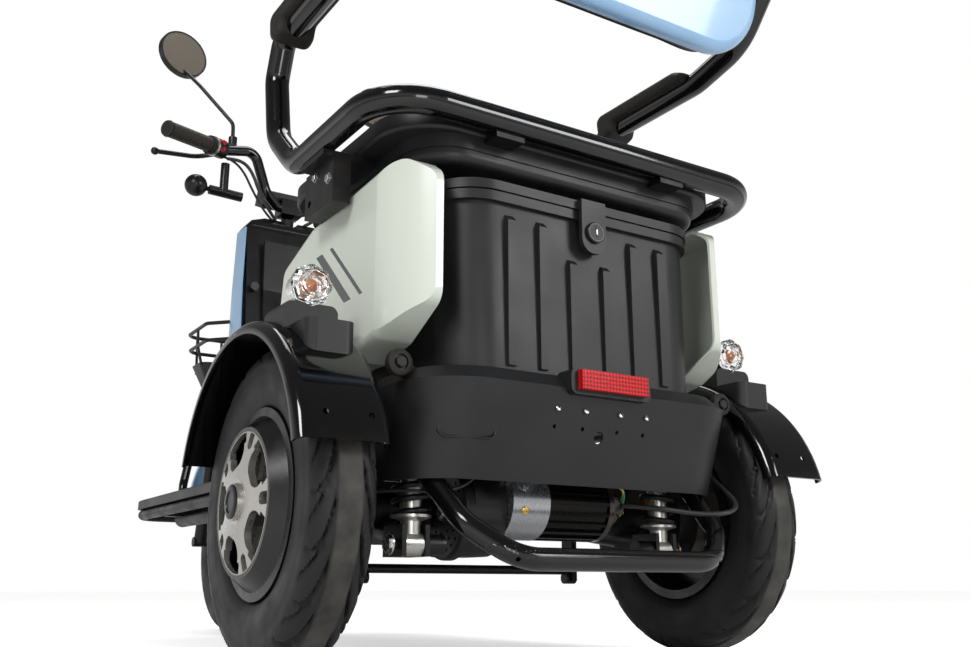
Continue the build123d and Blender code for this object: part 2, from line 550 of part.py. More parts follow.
def make_fascia():
    """Wide rear fascia below the trunk: leaning face, chamfered top band, reflector block and holes."""
    def outline(z, rear, half, inset):
        depth = -60 - (rear + inset)
        shape = RectangleRounded(2 * (half - inset), 2 * depth, 80 - inset)
        return Pos(0, -60, z) * (shape - Pos(0, depth) * Rectangle(700, 2 * depth))
    outer = loft([outline(206, -166, 240, 0), outline(314, -204, 240, 0)])
    outer += loft([outline(314, -204, 240, 0), outline(330, -190, 228, 0)])
    inner = loft([outline(205.9, -166, 240, PANEL), outline(314, -204, 240, PANEL)])
    inner += loft([outline(314, -204, 240, PANEL), outline(330.1, -190, 228, PANEL)])
    shell = outer - inner
    block = box(-60, 60, -213.7, -186, 306, 336)
    block = fillet(block.edges().filter_by(Axis.Y), 8) - inner
    holes = Sketch() + [Pos(x, z) * Circle(2.5) for x in (-67, -26, 26, 67) for z in (270, 290)] + Pos(0, 262) * Circle(7)
    drills = extrude(Plane.XZ * holes, 400)
    save(shell + block - drills, "rear_fascia")
    save(box(-50, 50, -222, -214, 311, 334), "rear_reflector")


def make_rear_fenders():
    """Rear fenders: arched covers with turned-down edges and two screw holes in the tail."""
    width = FENDER_OUT - FENDER_IN
    section = Pos(0, FENDER_R - 8) * Rectangle(width, 16)
    section = fillet(section.vertices().group_by(Axis.Y)[-1], 13)
    inner = Pos(0, FENDER_R - PANEL - 10) * Rectangle(width - 2 * PANEL, 20)
    inner = fillet(inner.vertices().group_by(Axis.Y)[-1], 10)
    arch = Rot(17, 0, 0) * revolve(section - inner, Axis.X, 149)
    place = Pos(-(FENDER_IN + FENDER_OUT) / 2, 0, WHEEL_R)
    holes = Sketch() + [Pos(x, 261) * Circle(3.2) for x in (-353, -302)]
    fender = place * arch - Pos(0, -160, 0) * extrude(Plane.XZ * holes, 60)
    save(left_right(fender), "rear_fenders")


def make_rear_lamps():
    """Clear faceted lamps on hooded brackets above the rear fenders."""
    spot = Pos(-333, -92, 422) * Rot(90, 0, 0)
    body = extrude(RegularPolygon(25, 8), -14)
    front = loft([RegularPolygon(25, 8), Pos(0, 0, 8) * RegularPolygon(17, 8)])
    base = Pos(0, 0, -24) * Cylinder(20, 20)
    save(left_right(spot * (body + front + base)), "rear_lamps")
    arch = bar_x(-386, -280, 0, WHEEL_R, FENDER_R + 0.3)
    hood = fillet(box(-366, -300, -92, -34, 360, 400).edges().filter_by(Axis.Y).group_by(Axis.Z)[-1], 10)
    lower = fillet(box(-356, -298, -140, -60, 320, 372).edges().filter_by(Axis.Z), 12)
    post = box(-345, -321, -66, -50, 396, 410)
    seat = spot * Pos(0, 0, -24) * Cylinder(20.3, 20.6) + spot * extrude(RegularPolygon(25.4, 8), -14.3)
    save(left_right(hood + lower + post - arch - seat), "lamp_brackets")


def make_step_tube():
    """Rear step: a tube low across the back, swept up to the frame at both ends."""
    half = [(-STEP_ARM_X, STEP_ARM_Y, 300.7), (-STEP_ARM_X, STEP_ARM_Y, 226), (-186, -184, 157), (-142, -222, 119)]
    other = [(-x, y, z) for x, y, z in reversed(half)]
    tube = pipe(half + other, 12.5, [40, 50, 60, 60, 50, 40])
    for x in (-146, 146):
        tube -= Pos(x, -219, 120) * Rot(100, 0, 0) * Cylinder(2.5, 30)
    save(tube, "step_tube")


def make_inside():
    """Battery block and the upright cover below the front of the seat."""
    save(box(-120, 120, 156, 208, 330, 545), "battery")
    save(slab(212, 214, 218, FLOOR_TOP + 0.3, 580, 1), "under_seat_cover")


def make_cords():
    """Motor lead that hangs below the fascia, and the thin cable of the left brake."""
    lead = [(102, -104.3, 192), (124, -146, 188), (158, -186, 178), (196, -204, 180), (236, -178, 196),
            (256, -130, 222), (258, -80, 262), (256, -40.4, 304)]
    cord(lead, 3, "motor_lead")
    cable = [(-242.8, -48.3, 196), (-222, -88, 198), (-180, -120, 194), (-138, -126, 206), (-108, -116, 254),
             (-98, -94, 300.6)]
    cord(cable, 2, "brake_cable")


make_wheels()
make_rear_axle()
make_motor()
make_gear_guard()
make_shock_absorbers()
make_brake_linkage()
make_frame()
make_floorboard()
make_front_body()
make_front_basket()
make_front_guard()
make_fork()
make_handlebar()
make_seat()
make_seat_tubes()
make_backrest()
make_trunk()
make_side_pods()
make_fascia()
make_rear_fenders()
make_rear_lamps()
make_step_tube()
make_inside()
make_cords()
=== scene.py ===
"""Looks of the electric tricycle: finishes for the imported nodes, and the fine pieces that they leave out.

Lengths are written in millimetres.  Along Y they are measured from the rear axle, as on the vehicle's
drawing, and place() turns them into metres in the shared frame.
"""

from math import atan2, cos, hypot, pi, radians, sin

import bpy
import numpy as np
from mathutils import Matrix, Vector


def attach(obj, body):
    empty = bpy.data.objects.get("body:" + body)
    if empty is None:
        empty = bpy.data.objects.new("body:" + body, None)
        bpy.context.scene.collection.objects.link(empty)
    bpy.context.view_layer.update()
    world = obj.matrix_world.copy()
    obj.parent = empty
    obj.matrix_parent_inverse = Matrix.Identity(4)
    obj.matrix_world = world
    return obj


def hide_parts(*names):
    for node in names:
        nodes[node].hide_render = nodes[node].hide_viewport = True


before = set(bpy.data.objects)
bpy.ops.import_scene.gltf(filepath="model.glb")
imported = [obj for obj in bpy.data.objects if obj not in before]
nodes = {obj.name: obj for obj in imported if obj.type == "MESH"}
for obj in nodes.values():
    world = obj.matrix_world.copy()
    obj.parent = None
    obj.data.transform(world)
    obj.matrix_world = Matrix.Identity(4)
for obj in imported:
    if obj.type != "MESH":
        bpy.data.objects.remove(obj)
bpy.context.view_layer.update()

# ---- the vehicle's main sizes, in mm
ORIGIN_Y = 450              # the shared frame's origin lies this far ahead of the rear axle
WHEELBASE = 1045
HALF_TRACK = 318
WHEEL_R = 183
ARM_X = 298
STAR_R = 80                 # reach of the silver star on a wheel's face
SHOCK_X = 191
SHOCK_Y = -73
MOTOR_RIBS = (-20, 74)      # the ribbed middle of the motor runs between these, along X
POD_FACE_X = 262            # outer face of the white side pods
BACKREST_FOOT = (0, -222, 800)
BACKREST_LEAN = 14          # degrees
SEAT_PAD_MIDDLE = (0, 24, 659)
MIRROR_SPOT = (-240, 938, 1237)
SHOCK_FOOT = (-SHOCK_X, SHOCK_Y, 138)
SHOCK_HEAD = (-SHOCK_X, SHOCK_Y, 286)
MM = 0.001


def place(x, y, z):
    """A point of the drawing, as metres in the shared frame."""
    return Vector((x * MM, (y - ORIGIN_Y) * MM, z * MM))


# ---- materials: helpers
def linear(code):
    """A colour written as sRGB hex, as the linear colour that the shaders take."""
    parts = [int(code[i:i + 2], 16) / 255 for i in (1, 3, 5)]
    curve = [c / 12.92 if c <= 0.04045 else ((c + 0.055) / 1.055) ** 2.4 for c in parts]
    return (*curve, 1.0)


def node(material, kind, links=(), **settings):
    """Add a shader node; settings are attributes or socket values, links are (socket, from node, output)."""
    made = material.node_tree.nodes.new(kind)
    for key, value in settings.items():
        if hasattr(made, key):
            setattr(made, key, value)
        else:
            made.inputs[key.replace("_", " ")].default_value = value
    for socket, source, output in links:
        material.node_tree.links.new(source.outputs[output], made.inputs[socket])
    return made


def new_material(name, colour, roughness, **settings):
    """A material with one Principled shader; returns the material and the shader."""
    material = bpy.data.materials.new(name)
    material.use_nodes = True
    shader = material.node_tree.nodes["Principled BSDF"]
    shader.inputs["Base Color"].default_value = linear(colour)
    shader.inputs["Roughness"].default_value = roughness
    for key, value in settings.items():
        shader.inputs[key.replace("_", " ")].default_value = value
    return material, shader


def link(material, source, output, target, socket):
    material.node_tree.links.new(source.outputs[output], target.inputs[socket])


def maths(material, operation, *terms):
    """A math node; each term is a number or a (node, output) pair, and so is what it returns."""
    made = node(material, "ShaderNodeMath", operation=operation)
    for socket, term in enumerate(terms):
        if isinstance(term, tuple):
            link(material, *term, made, socket)
        else:
            made.inputs[socket].default_value = term
    return made, "Value"


def near(material, value, middle_mm, half_mm):
    """1 where a value lies within half_mm of a middle, else 0."""
    offset = maths(material, "SUBTRACT", value, middle_mm * MM)
    return maths(material, "LESS_THAN", maths(material, "ABSOLUTE", offset), half_mm * MM)


def blend(material, factor, low, high):
    """A blend of two colours, each a hex code or a (node, output) pair; returns such a pair."""
    made = node(material, "ShaderNodeMix", [("Factor", *factor)], data_type="RGBA")
    for socket, colour in ((6, low), (7, high)):
        if isinstance(colour, tuple):
            link(material, *colour, made, socket)
        else:
            made.inputs[socket].default_value = linear(colour)
    return made, 2


def object_axes(material):
    """The Object coordinates, split into X, Y and Z."""
    where = node(material, "ShaderNodeTexCoord")
    return node(material, "ShaderNodeSeparateXYZ", [("Vector", where, "Object")])


def noise(material, grain_mm, detail=3.0, stretch=(1, 1, 1)):
    """Noise on Object coordinates whose blobs are about grain_mm across."""
    where = node(material, "ShaderNodeTexCoord")
    mapped = node(material, "ShaderNodeMapping", [("Vector", where, "Object")], Scale=stretch)
    return node(material, "ShaderNodeTexNoise", [("Vector", mapped, "Vector")],
                Scale=1000 / grain_mm, Detail=detail)


def pattern(material, kind, **settings):
    """A Voronoi, wave or other texture on Object coordinates."""
    where = node(material, "ShaderNodeTexCoord")
    return node(material, "ShaderNodeTex" + kind, [("Vector", where, "Object")], **settings)


def ramp(material, source, output, low, high, low_colour, high_colour):
    """A two-stop colour ramp between positions low and high."""
    made = node(material, "ShaderNodeValToRGB", [("Fac", source, output)])
    made.color_ramp.elements[0].position = low
    made.color_ramp.elements[0].color = linear(low_colour)
    made.color_ramp.elements[1].position = high
    made.color_ramp.elements[1].color = linear(high_colour)
    return made


def bumped(material, shader, source, output, strength, depth_mm):
    """Bump from a texture, depth_mm high."""
    bump = node(material, "ShaderNodeBump", [("Height", source, output)],
                Strength=strength, Distance=depth_mm * MM)
    link(material, bump, "Normal", shader, "Normal")


def rough_between(material, shader, source, low, high):
    """Roughness that wanders between two values with a noise."""
    spread = node(material, "ShaderNodeMapRange", [("Value", source, "Fac")],
                  From_Min=0.3, From_Max=0.7, To_Min=low, To_Max=high)
    link(material, spread, "Result", shader, "Roughness")


# ---- materials
def grained_polypropylene():
    """Moulded polypropylene: fine leathery grain that spreads the highlights into a soft grey sheen."""
    material, shader = new_material("grained_polypropylene", "#1b1b1c", 0.4, Specular_IOR_Level=0.35)
    grain = noise(material, 1.3, 2)
    cloud = noise(material, 90, 3)
    bumped(material, shader, grain, "Fac", 0.35, 0.25)
    tint = ramp(material, cloud, "Fac", 0.35, 0.7, "#181819", "#202021")
    link(material, tint, "Color", shader, "Base Color")
    rough_between(material, shader, cloud, 0.34, 0.46)
    return material


def satin_abs():
    """Moulded ABS: satin black, smoother than the grained covers, with faint flow marks."""
    material, shader = new_material("satin_abs", "#111112", 0.28, Specular_IOR_Level=0.35)
    cloud = noise(material, 60, 3)
    rough_between(material, shader, cloud, 0.24, 0.38)
    bumped(material, shader, noise(material, 2.5, 2), "Fac", 0.12, 0.2)
    return material


def powder_coated_tube():
    """Powder-coated steel tube: deep gloss black with a trace of orange peel in its highlights."""
    material, shader = new_material("powder_coated_tube", "#060607", 0.12,
                                    Specular_IOR_Level=0.4, Coat_Weight=0.25, Coat_Roughness=0.04)
    bumped(material, shader, noise(material, 5, 1), "Fac", 0.06, 0.3)
    return material


def painted_steel():
    """Chassis paint on steel: dull black with road dust in broad patches and paler worn spots."""
    material, shader = new_material("painted_steel", "#0d0d0e", 0.4, Specular_IOR_Level=0.35)
    cloud = noise(material, 28, 5)
    tint = ramp(material, cloud, "Fac", 0.5, 0.8, "#0b0b0c", "#24211f")
    link(material, tint, "Color", shader, "Base Color")
    rough_between(material, shader, cloud, 0.3, 0.55)
    bumped(material, shader, noise(material, 3, 3), "Fac", 0.25, 0.2)
    return material


def gloss_moulding():
    """High-gloss ABS moulding: piano black with soft waves that bend its reflections."""
    material, shader = new_material("gloss_moulding", "#050506", 0.09,
                                    Specular_IOR_Level=0.4, Coat_Weight=0.35, Coat_Roughness=0.03)
    bumped(material, shader, noise(material, 70, 1), "Fac", 0.06, 1.2)
    rough_between(material, shader, noise(material, 25, 4), 0.07, 0.14)
    return material


def lacquered(name, colour, shade):
    """Lacquered ABS body panel: even colour under a clear coat, a touch deeper in broad clouds."""
    material, shader = new_material(name, colour, 0.28, Coat_Weight=0.6, Coat_Roughness=0.06)
    tint = ramp(material, noise(material, 120, 2), "Fac", 0.3, 0.75, colour, shade)
    link(material, tint, "Color", shader, "Base Color")
    bumped(material, shader, noise(material, 6, 1), "Fac", 0.04, 0.3)
    return material


def striped_panel():
    """The pods' lacquer, pearl grey-white, with two dark slanted stripes of film on each outer face."""
    material, shader = new_material("pearl_lacquer_with_stripes", "#c9cfc4", 0.26,
                                    Coat_Weight=0.6, Coat_Roughness=0.06)
    axes = object_axes(material)
    height = maths(material, "SUBTRACT", (axes, "Z"), maths(material, "MULTIPLY", (axes, "Y"), 0.9))
    stripes = [near(material, height, middle, half) for middle, half in ((862, 9), (896, 4))]
    band = near(material, (axes, "Z"), 470, 42)
    outer = maths(material, "GREATER_THAN", maths(material, "ABSOLUTE", (axes, "X")), (POD_FACE_X - 3) * MM)
    clipped = maths(material, "MULTIPLY", maths(material, "MAXIMUM", *stripes), band)
    mask = maths(material, "MULTIPLY", clipped, outer)
    link(material, *blend(material, mask, "#c9cfc4", "#3a3b3c"), shader, "Base Color")
    bumped(material, shader, noise(material, 60, 1), "Fac", 0.05, 0.8)
    return material


def tyre_rubber():
    """Vulcanised tyre rubber: charcoal, greyer and dusty where the tread is worn, with painted shade in its
    grooves.

    The mesh carries two attributes: wear, 1 along the middle of the tread, and one that is 1 in a groove,
    which the shader paints darker as shade.
    """
    material, shader = new_material("tyre_rubber", "#161617", 0.5, Specular_IOR_Level=0.3)
    wear = node(material, "ShaderNodeAttribute", attribute_name="wear")
    groove_and_painted_shade = node(material, "ShaderNodeAttribute", attribute_name="groove_and_painted_shade")
    dust = noise(material, 26, 6)
    patch = maths(material, "MULTIPLY", (dust, "Fac"), (wear, "Fac"))
    worn = ramp(material, *patch, 0.15, 0.8, "#19191a", "#4c4a45")
    # the grooves take a near-black colour: painted shade in their recesses, not a darker rubber
    link(material, *blend(material, (groove_and_painted_shade, "Fac"), (worn, "Color"), "#080808"), shader, "Base Color")
    rough_between(material, shader, noise(material, 40, 3), 0.42, 0.62)
    bumped(material, shader, noise(material, 1.6, 3), "Fac", 0.3, 0.25)
    return material


def cast_aluminium():
    """Lacquered aluminium casting: pale warm grey, slightly sparkling, softly uneven reflections."""
    material, shader = new_material("cast_aluminium", "#b9b7b2", 0.3, Metallic=0.85)
    rough_between(material, shader, noise(material, 18, 4), 0.24, 0.4)
    bumped(material, shader, noise(material, 1.8, 2), "Fac", 0.18, 0.15)
    return material


def wheel_finish(name, y_mm, face_mm):
    """The cast wheel: silver star, which lies past face_mm, grey-brown dish behind it, black rim."""
    material, shader = new_material(name, "#b9b7b2", 0.3)
    where = node(material, "ShaderNodeTexCoord")
    centred = node(material, "ShaderNodeMapping", [("Vector", where, "Object")],
                   Location=(0, (ORIGIN_Y - y_mm) * MM, -WHEEL_R * MM))
    split = node(material, "ShaderNodeSeparateXYZ", [("Vector", centred, "Vector")])
    face = maths(material, "GREATER_THAN", maths(material, "ABSOLUTE", (split, "X")), face_mm * MM)
    disc = node(material, "ShaderNodeCombineXYZ", [("Y", split, "Y"), ("Z", split, "Z")])
    reach = node(material, "ShaderNodeVectorMath", [(0, disc, "Vector")], operation="LENGTH")
    within = maths(material, "LESS_THAN", (reach, "Value"), STAR_R * MM)
    star = maths(material, "MULTIPLY", face, within)
    behind = blend(material, within, "#0e0e0f", "#5b5753")
    link(material, *blend(material, star, behind, "#b8b5b0"), shader, "Base Color")
    metal = node(material, "ShaderNodeMapRange", [("Value", *star)], To_Min=0.0, To_Max=0.85)
    link(material, metal, "Result", shader, "Metallic")
    rough_between(material, shader, noise(material, 18, 4), 0.22, 0.36)
    bumped(material, shader, noise(material, 1.8, 2), "Fac", 0.15, 0.15)
    return material


def motor_metal():
    """Drive motor: turned bright steel drum, black ribbed middle, dull alloy end cover."""
    material, shader = new_material("turned_motor_steel", "#b4b5b6", 0.25, Metallic=0.9)
    reach = 100                                      # the ramp spans this far to each side, in mm
    scaled = node(material, "ShaderNodeMapRange", [("Value", object_axes(material), "X")],
                  From_Min=-reach * MM, From_Max=reach * MM, To_Min=0, To_Max=1)
    bands = node(material, "ShaderNodeValToRGB", [("Fac", scaled, "Result")])
    bands.color_ramp.interpolation = "CONSTANT"
    stops = bands.color_ramp.elements
    stops[0].color = linear("#a4a6aa")
    stops[1].position = (MOTOR_RIBS[0] + reach) / (2 * reach)
    stops[1].color = linear("#1c1b1a")
    end = stops.new((MOTOR_RIBS[1] + reach) / (2 * reach))
    end.color = linear("#4a4644")
    link(material, bands, "Color", shader, "Base Color")
    lines = noise(material, 2, 2, stretch=(6, 0.4, 0.4))
    rough_between(material, shader, lines, 0.18, 0.34)
    return material


def plated_steel(name="zinc_plated_steel", colour="#c2c2c0", roughness=0.24):
    """Plated steel fastener: bright, faintly streaked."""
    material, shader = new_material(name, colour, roughness, Metallic=1.0)
    rough_between(material, shader, noise(material, 4, 4), roughness - 0.08, roughness + 0.12)
    return material


def seat_leathercloth():
    """PVC-coated fabric: fine pebbled leather grain and a soft sheen."""
    material, shader = new_material("seat_leathercloth", "#242527", 0.48, Specular_IOR_Level=0.4)
    bumped(material, shader, pattern(material, "Voronoi", Scale=1000 / 2.2), "Distance", 0.35, 0.4)
    tint = ramp(material, noise(material, 70, 3), "Fac", 0.3, 0.75, "#202123", "#2d2e31")
    link(material, tint, "Color", shader, "Base Color")
    return material


def foam_rubber():
    """Moulded foam rubber of the grips and pads: matt brown-black skin."""
    material, shader = new_material("foam_rubber", "#201e1c", 0.62, Specular_IOR_Level=0.3)
    bumped(material, shader, noise(material, 1.2, 2), "Fac", 0.4, 0.25)
    return material


def ribbed_rubber():
    """Handlebar grip: moulded rubber with fine rings along its length."""
    material, shader = new_material("ribbed_grip_rubber", "#2b2622", 0.55, Specular_IOR_Level=0.35)
    rings = pattern(material, "Wave", Scale=1000 / 5 / 3.14, bands_direction="X")
    bumped(material, shader, rings, "Fac", 0.5, 0.8)
    return material


def clear_polycarbonate():
    """Moulded clear polycarbonate: colourless, sharp facets."""
    material, shader = new_material("clear_polycarbonate", "#ffffff", 0.02, IOR=1.58,
                                    Transmission_Weight=1.0)
    bumped(material, shader, noise(material, 9, 1), "Fac", 0.05, 0.4)
    return material


def bright_reflector():
    """Vacuum-metallised reflector bowl behind a lens: mirror-bright with small facets."""
    material, shader = new_material("metallised_reflector", "#e4e4e2", 0.08, Metallic=1.0)
    bumped(material, shader, pattern(material, "Voronoi", Scale=1000 / 4), "Distance", 0.5, 0.8)
    return material


def amber_bulb():
    """Amber signal bulb of dyed glass."""
    material, shader = new_material("amber_bulb", "#d8813a", 0.12, Transmission_Weight=0.4,
                                    Coat_Weight=0.5)
    rough_between(material, shader, noise(material, 6, 2), 0.08, 0.16)
    return material


def red_prisms():
    """Red acrylic reflector: rows of small prisms under a smooth face."""
    material, shader = new_material("red_prism_acrylic", "#b80a14", 0.16, Specular_IOR_Level=0.3,
                                    Coat_Weight=0.3, Coat_Roughness=0.03)
    where = node(material, "ShaderNodeTexCoord")
    turned = node(material, "ShaderNodeMapping", [("Vector", where, "Object")], Rotation=(0, radians(45), 0))
    grid = node(material, "ShaderNodeTexChecker", [("Vector", turned, "Vector")], Scale=1000 / 3.4)
    grid.inputs["Color1"].default_value = linear("#cc1019")
    grid.inputs["Color2"].default_value = linear("#7c070d")
    link(material, grid, "Color", shader, "Base Color")
    bumped(material, shader, grid, "Fac", 0.2, 0.3)
    return material


def silvered_glass_painted_reflection():
    """Silvered mirror glass whose dull warm grey colour is a painted reflection of a room."""
    material, shader = new_material("silvered_glass_painted_reflection", "#8f877c", 0.12, Metallic=0.55)
    rough_between(material, shader, noise(material, 50, 2), 0.1, 0.16)
    return material


def knurled_tube():
    """The step tube: gloss black with rows of punched dimples along its top for grip."""
    material, shader = new_material("dimpled_step_tube", "#080809", 0.14, Specular_IOR_Level=0.4,
                                    Coat_Weight=0.25, Coat_Roughness=0.05)
    dots = pattern(material, "Voronoi", Scale=1000 / 5.5, Randomness=0.0)
    pits = node(material, "ShaderNodeMapRange", [("Value", dots, "Distance")],
                From_Min=0.1, From_Max=0.4, To_Min=0, To_Max=1)
    axes = object_axes(material)
    top = node(material, "ShaderNodeMapRange", [("Value", axes, "Z")],
               From_Min=0.118, From_Max=0.124, To_Min=0, To_Max=1)
    leg = node(material, "ShaderNodeMapRange", [("Value", axes, "Z")],
               From_Min=0.132, From_Max=0.134, To_Min=1, To_Max=0)
    band = maths(material, "MULTIPLY", (top, "Result"), (leg, "Result"))
    bumped(material, shader, *maths(material, "MULTIPLY", (pits, "Result"), band), 0.8, 1.0)
    return material


def cord_sheath():
    """Flexible PVC sheath: dull black, lightly dusty."""
    material, shader = new_material("pvc_cord_sheath", "#232326", 0.45)
    rough_between(material, shader, noise(material, 8, 3), 0.38, 0.55)
    return material


def painted(name, colour, roughness=0.35):
    """A plain moulded or painted small part in one colour, slightly uneven in its gloss."""
    material, shader = new_material(name, colour, roughness)
    rough_between(material, shader, noise(material, 10, 3), roughness - 0.06, roughness + 0.08)
    return material


finish = {
    "cover": grained_polypropylene(),
    "satin": satin_abs(),
    "tube": powder_coated_tube(),
    "steel": painted_steel(),
    "gloss": gloss_moulding(),
    "blue": lacquered("sky_blue_lacquer", "#8fb4d6", "#83aace"),
    "pod": striped_panel(),
    "rubber": tyre_rubber(),
    "alloy": cast_aluminium(),
    "rear_wheel": wheel_finish("two_tone_rear_casting", 0, 359),
    "front_wheel": wheel_finish("two_tone_front_casting", WHEELBASE, 27.5),
    "motor": motor_metal(),
    "zinc": plated_steel(),
    "bronze": plated_steel("bronze_bushing", "#a8794a", 0.35),
    "brass": plated_steel("brass_fitting", "#d0b060", 0.25),
    "leathercloth": seat_leathercloth(),
    "foam": foam_rubber(),
    "grip": ribbed_rubber(),
    "lens": clear_polycarbonate(),
    "reflector": bright_reflector(),
    "amber": amber_bulb(),
    "red": red_prisms(),
    "mirror": silvered_glass_painted_reflection(),
    "step": knurled_tube(),
    "cord": cord_sheath(),
    "screen": painted("display_glass", "#0c1216", 0.1),
}


# ---- making pieces: helpers
def deselect():
    """Leave edit mode and select nothing."""
    if bpy.context.object and bpy.context.object.mode != "OBJECT":
        bpy.ops.object.mode_set(mode="OBJECT")
    bpy.ops.object.select_all(action="DESELECT")


def only(piece):
    """Make one object the selected and active one."""
    deselect()
    piece.select_set(True)
    bpy.context.view_layer.objects.active = piece


def bake_place(piece):
    """Put the piece's place, turn and scale into its mesh."""
    only(piece)
    bpy.ops.object.transform_apply(location=True, rotation=True, scale=True)


def stand(piece, at, direction):
    """Turn a piece made along +Z so that it points in a direction, and set it down at a point."""
    turn = Vector(direction).to_track_quat("Z", "Y").to_matrix().to_4x4()
    piece.matrix_world = Matrix.Translation(place(*at)) @ turn
    bake_place(piece)
    return piece


def face_outwards(piece):
    """Merge doubles and turn every face outwards."""
    only(piece)
    bpy.ops.object.mode_set(mode="EDIT")
    bpy.ops.mesh.select_all(action="SELECT")
    bpy.ops.mesh.remove_doubles(threshold=0.00001)
    bpy.ops.mesh.normals_make_consistent(inside=False)
    bpy.ops.object.mode_set(mode="OBJECT")


def join(pieces):
    """One object from several."""
    deselect()
    for piece in pieces:
        piece.select_set(True)
    bpy.context.view_layer.objects.active = pieces[0]
    bpy.ops.object.join()
    return pieces[0]


def copy_of(piece, matrix):
    """A copy with its own mesh, moved by a matrix; a mirrored copy is turned the right way out."""
    other = piece.copy()
    other.data = piece.data.copy()
    bpy.context.scene.collection.objects.link(other)
    other.data.transform(matrix)
    if matrix.determinant() < 0:
        other.data.flip_normals()
    return other


MIRROR = Matrix.Scale(-1, 4, (1, 0, 0))


def both_sides(piece):
    """The piece and its mirror image, as one object."""
    return join([piece, copy_of(piece, MIRROR)])


def mount(piece, name, body, material, angle=35):
    """Name a finished piece, shade it, give it its material and let it ride on its body."""
    bake_place(piece)
    piece.name = name
    piece.data.name = name
    piece.data.materials.clear()
    piece.data.materials.append(finish[material])
    only(piece)
    bpy.ops.object.shade_smooth_by_angle(angle=radians(angle))
    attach(piece, body)
    return piece


def turned(rings, segments=40):
    """A turned part along +Z: rings are (radius, height) in mm, drawn out one after another."""
    radius, height = rings[0]
    deselect()
    bpy.ops.mesh.primitive_circle_add(vertices=segments, radius=radius * MM, fill_type="NGON",
                                      location=(0, 0, height * MM))
    piece = bpy.context.object
    bake_place(piece)
    bpy.ops.object.mode_set(mode="EDIT")
    bpy.ops.mesh.select_all(action="SELECT")
    for wider, higher in rings[1:]:
        bpy.ops.mesh.extrude_region_move(TRANSFORM_OT_translate={"value": (0, 0, (higher - height) * MM)})
        ratio = wider / radius
        bpy.ops.transform.resize(value=(ratio, ratio, 1), center_override=(0, 0, higher * MM))
        radius, height = wider, higher
    bpy.ops.object.mode_set(mode="OBJECT")
    face_outwards(piece)
    return piece


def cuboid(size):
    """A sharp block about the origin, in mm."""
    deselect()
    bpy.ops.mesh.primitive_cube_add(size=1)
    piece = bpy.context.object
    piece.scale = Vector(size) * MM
    bake_place(piece)
    return piece


def block(size, bevel, segments=3):
    """A block about the origin, in mm, with all its edges rounded."""
    piece = cuboid(size)
    bpy.ops.object.mode_set(mode="EDIT")
    bpy.ops.mesh.select_all(action="SELECT")
    bpy.ops.mesh.bevel(offset=bevel * MM, segments=segments, affect="EDGES")
    bpy.ops.object.mode_set(mode="OBJECT")
    return piece


def shift(piece, x, y, z):
    """Move a piece made about the origin to a point of the drawing."""
    piece.location = place(x, y, z)
    bake_place(piece)
    return piece


def tube_curve(name, spots, radius, order, detail, rings, closed=False):
    """A round tube along a NURBS curve laid out by spots, all in metres."""
    curve = bpy.data.curves.new(name, "CURVE")
    curve.dimensions = "3D"
    spline = curve.splines.new("NURBS")
    spline.points.add(len(spots) - 1)
    for point, spot in zip(spline.points, spots):
        point.co = (*spot, 1)
    spline.order_u = order
    spline.use_cyclic_u = closed
    spline.use_endpoint_u = not closed
    spline.resolution_u = detail
    curve.bevel_depth = radius
    curve.bevel_resolution = rings
    curve.use_fill_caps = not closed
    piece = bpy.data.objects.new(name, curve)
    bpy.context.scene.collection.objects.link(piece)
    return piece


def as_mesh(piece):
    """The curve as a closed mesh."""
    only(piece)
    bpy.ops.object.convert(target="MESH")
    face_outwards(bpy.context.object)
    return bpy.context.object


def rod(points, radius):
    """A smooth bent rod or held cable through points of the drawing, as a mesh with closed ends."""
    return as_mesh(tube_curve("rod", [place(*point) for point in points], radius * MM, 3, 8, 6))


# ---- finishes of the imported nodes
NODE_FINISH = {
    "tube": ["arm_hoop", "rear_rail", "front_guard", "handlebar"],
    "steel": ["frame", "rear_axle", "brake_linkage", "fork", "floor_rails", "gear_guard", "battery",
              "seat_brackets"],
    "cover": ["rear_fascia", "trunk_tub", "trunk_lid", "seat_pan", "floorboard", "under_seat_cover",
              "lamp_brackets"],
    "satin": ["leg_shield", "front_basket", "front_indicators", "meter", "mirrors", "brake_levers"],
    "gloss": ["rear_fenders"],
    "blue": ["front_shell", "front_mudguard", "backrest_shell"],
    "pod": ["side_pods"],
    "rear_wheel": ["rear_wheel_left", "rear_wheel_right"],
    "front_wheel": ["front_wheel"],
    "motor": ["drive_motor"],
    "grip": ["grips"],
    "red": ["rear_reflector"],
    "step": ["step_tube"],
    "reflector": ["headlight"],
}
for material_name, node_names in NODE_FINISH.items():
    for node_name in node_names:
        nodes[node_name].data.materials.clear()
        nodes[node_name].data.materials.append(finish[material_name])


# ---- tyres
TREAD_PITCHES = 18          # scallops of the tread round the tyre
GROOVE_HALF = 1.7
GROOVE_DEPTH = 4.0
AROUND = 600
ACROSS = 96
TYRE_HALF = 37.8
TYRE_MIDDLE = 143.4         # radius of the section's middle
TYRE_HIGH = 39.4            # half the section's height


def tyre_section(share):
    """Across and radius, in mm, at a share of the way round the section; points crowd on the tread."""
    turn = np.linspace(0, 2 * pi, 4001)
    across = TYRE_HALF * np.sign(np.cos(turn)) * np.abs(np.cos(turn)) ** 0.62
    radius = TYRE_MIDDLE + TYRE_HIGH * np.sign(np.sin(turn)) * np.abs(np.sin(turn)) ** 0.62
    steps = np.hypot(np.diff(across), np.diff(radius)) * np.where(radius[1:] > 160, 2.5, 1.0)
    reached = np.concatenate(([0.0], np.cumsum(steps)))
    spot = np.interp(share * reached[-1], reached, turn)
    return np.interp(spot, turn, across), np.interp(spot, turn, radius)


